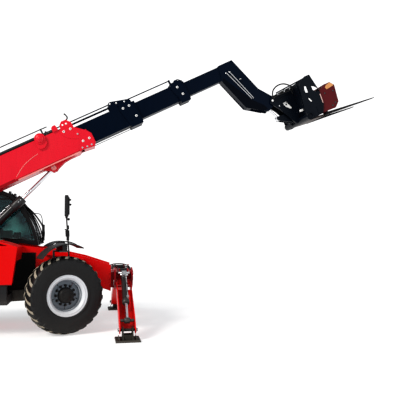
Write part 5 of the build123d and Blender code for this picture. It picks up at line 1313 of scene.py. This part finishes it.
# ---------------------------------------------------------------- seat
# Driver's seat on a boxed base: a cushion and a tall back of woven grey cloth over foam, with two
# stitched channels each, on a bellows and slide rails that are fixed to the cab's floor.
SEAT_X, SEAT_Y = -1.64, 0.6975
seat_cloth = finish("seat_cloth", (0.035, 0.038, 0.042), roughness=0.9, dust=0.1, dust_height=4, shade=0.25,
                    grain=380, relief=1.0, specular=0.2)
seat_cloth.node_tree.nodes["Principled BSDF"].inputs["Sheen Weight"].default_value = 0.3
CLOTH_FRAMES = 20
PADS = {"cushion": ([(-0.205, 1.226), (0.215, 1.226), (0.225, 1.262), (0.212, 1.296), (-0.2, 1.302)], 0.222,
                    0.016),
        "back": ([(-0.212, 1.345), (-0.132, 1.345), (-0.222, 1.905), (-0.292, 1.905)], 0.21, 0.016)}


def swollen(name, mesh, reach):
    """A foam pad in its cover: the cut shape blown up as cloth, no point further out than the given reach."""
    piece = new_piece(name, mesh)
    remesh = piece.modifiers.new("close", "REMESH")
    remesh.mode = "VOXEL"
    remesh.voxel_size = 0.0055
    cut = evaluated(piece)
    start = [vertex.co.copy() for vertex in cut.vertices]
    piece = new_piece(name, cut)
    cloth = piece.modifiers.new("swell", "CLOTH")
    cloth.settings.use_pressure = True
    cloth.settings.uniform_pressure_force = 4.0
    cloth.settings.effector_weights.gravity = 0.0
    cloth.settings.quality = 5
    scene.frame_start, scene.frame_end = 1, CLOTH_FRAMES
    for frame in range(1, CLOTH_FRAMES + 1):
        scene.frame_set(frame)
    grown_pad = bpy.data.meshes.new_from_object(piece.evaluated_get(bpy.context.evaluated_depsgraph_get()))
    bpy.data.objects.remove(piece)
    scene.frame_set(1)
    for vertex, before in zip(grown_pad.vertices, start):
        away = vertex.co - before
        if away.length > reach:
            vertex.co = before + away * (reach / away.length)
    return grown_pad


def channels(mesh):
    """Two stitched channels pressed into a pad, one on each side of its middle."""
    across, depth, width = 0.115, 0.006, 0.012
    for vertex in mesh.vertices:
        near = abs(abs(vertex.co.y - SEAT_Y) - across) / width
        if near < 1:
            vertex.co -= vertex.normal * depth * (1 - near * near) ** 2


for pad, (outline, half, reach) in PADS.items():
    cut = slab([(SEAT_X + x, z) for x, z in outline], SEAT_Y - half, SEAT_Y + half, 0.012)
    cut.transform(machine)
    pad_mesh = swollen("foam_" + pad, cut, reach)
    channels(pad_mesh)
    cover = new_piece("padded_" + pad, pad_mesh)
    smooth = cover.modifiers.new("soften", "SUBSURF")
    smooth.levels = smooth.render_levels = 1
    for face in pad_mesh.polygons:
        face.use_smooth = True
    pad_mesh.materials.clear()
    pad_mesh.materials.append(seat_cloth)
    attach(cover, "chassis")
    if pad == "cushion":
        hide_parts("seat_cushion")
bellows = [chunk((SEAT_X - 0.175 + 0.008 * (k % 2), SEAT_X + 0.175 - 0.008 * (k % 2)),
                 (SEAT_Y - 0.165 + 0.008 * (k % 2), SEAT_Y + 0.165 - 0.008 * (k % 2)),
                 (1.211 + 0.0045 * k, 1.2155 + 0.0045 * k), 0.001) for k in range(2)]
bellows += [chunk((SEAT_X - 0.2, SEAT_X + 0.2), (SEAT_Y + side * 0.205 - 0.012,
                                                 SEAT_Y + side * 0.205 + 0.012),
                  (1.195, 1.215), 0.003) for side in BOTH]
bellows += [chunk((SEAT_X - 0.232, SEAT_X - 0.212), (SEAT_Y - 0.13, SEAT_Y + 0.13), (1.24, 1.36), 0.006),
            bar((SEAT_X + 0.12, SEAT_Y - 0.215, 1.19), (SEAT_X + 0.12, SEAT_Y - 0.255, 1.19), 0.018)]
fit("seat_slides", bellows, black_fitting, "chassis")
hub_cap = [bar((-1.095, SEAT_Y, 1.52), (-1.085, SEAT_Y, 1.545), 0.03, 24)]
fit("wheel_hub_cap", hub_cap, black_fitting, "chassis")

# ---------------------------------------------------------------- mirrors
# Moulded backs on tube arms, each with a convex silvered face towards the driver.
mirror_glass = finish("mirror_silver", (0.75, 0.77, 0.8), roughness=0.05, metal=1.0, dust=0.02, shade=0.03,
                      grain=40, relief=0.01)
backs = [chunk((-0.017, 0.043), (-0.855, -0.635), (1.885, 2.245), 0.018),
         bar((0.012, -0.748, 1.86), (0.012, -0.748, 1.93), 0.02, 12),
         chunk((-0.532, -0.488), (1.176, 1.334), (1.446, 1.769), 0.015),
         pipe([(-0.7, 1.165, 1.985), (-0.66, 1.21, 1.99), (-0.585, 1.25, 1.98), (-0.545, 1.26, 1.93),
               (-0.53, 1.255, 1.8), (-0.52, 1.255, 1.74)], 0.008)]
backs += [chunk((0.036, 0.06), (-0.83, -0.66), (1.92, 2.21), 0.01), disc(0.07, -0.7, 2.17, 0.016, 0.03),
          disc(0.072, -0.7, 2.09, 0.018, 0.03), disc(0.046, -0.72, 1.845, 0.022, 0.04),
          chunk((0.012, 0.058), (-0.712, -0.668), (1.49, 1.6), 0.006),
          chunk((0.024, 0.054), (-0.715, -0.675), (1.675, 1.745), 0.004),
          chunk((-0.018, 0.012), (-0.735, -0.7), (1.665, 1.685), 0.003)]
silver = [slab([(-0.019, 1.9), (-0.0165, 1.9), (-0.0165, 2.23), (-0.019, 2.23)], -0.84, -0.65, 0.0005),
          slab([(-0.5345, 1.46), (-0.5315, 1.46), (-0.5315, 1.755), (-0.5345, 1.755)], 1.19, 1.32, 0.0005)]
fit("mirror_backs", backs, trim_plastic, "chassis")
fit("mirror_faces", silver, mirror_glass, "chassis")

# ---------------------------------------------------------------- axles
# Cast axle housings: a bolted cover on the middle, a drive flange, bolts round the kingpin caps and
# the screws that clamp each housing to its saddles.
for axle_x, name in ((FRONT_AXLE, "front"), (REAR_AXLE, "rear")):
    middle = (axle_x, 0, TYRE_RADIUS)
    cover = lathe("cover", [(0.145, 0.0), (0.16, 0.06), (0.166, 0.105), (0.15, 0.112), (0.11, 0.115)], 40)
    ring = grown("cover_bolts", moved(hexagon_bolt(0.01, 0.01), (0.095, -0.158, 0)), ring_of_copies, Count=10,
                 Surface=axle_casting)
    pieces = [moved(cover, middle, -90), moved(ring, middle, 90)]
    for side in BOTH:
        for z_sign in BOTH:
            cap = lathe("kingpin_cap", [(0, 0), (0, 0.05), (0.01, 0.05), (0.016, 0.04), (0.016, 0)], 28)
            pieces.append(moved(cap, (axle_x, side * KINGPIN_Y, TYRE_RADIUS + z_sign * 0.1555), 90 * z_sign,
                                "X"))
        pieces.append(bolts_at([(axle_x - 0.07, 0.66), (axle_x + 0.07, 0.66), (axle_x - 0.07, 0.75),
                                (axle_x + 0.07, 0.75)], side * RAIL_OUT, 0.014))
    fit(name + "_axle_fittings", pieces, axle_casting, "chassis")
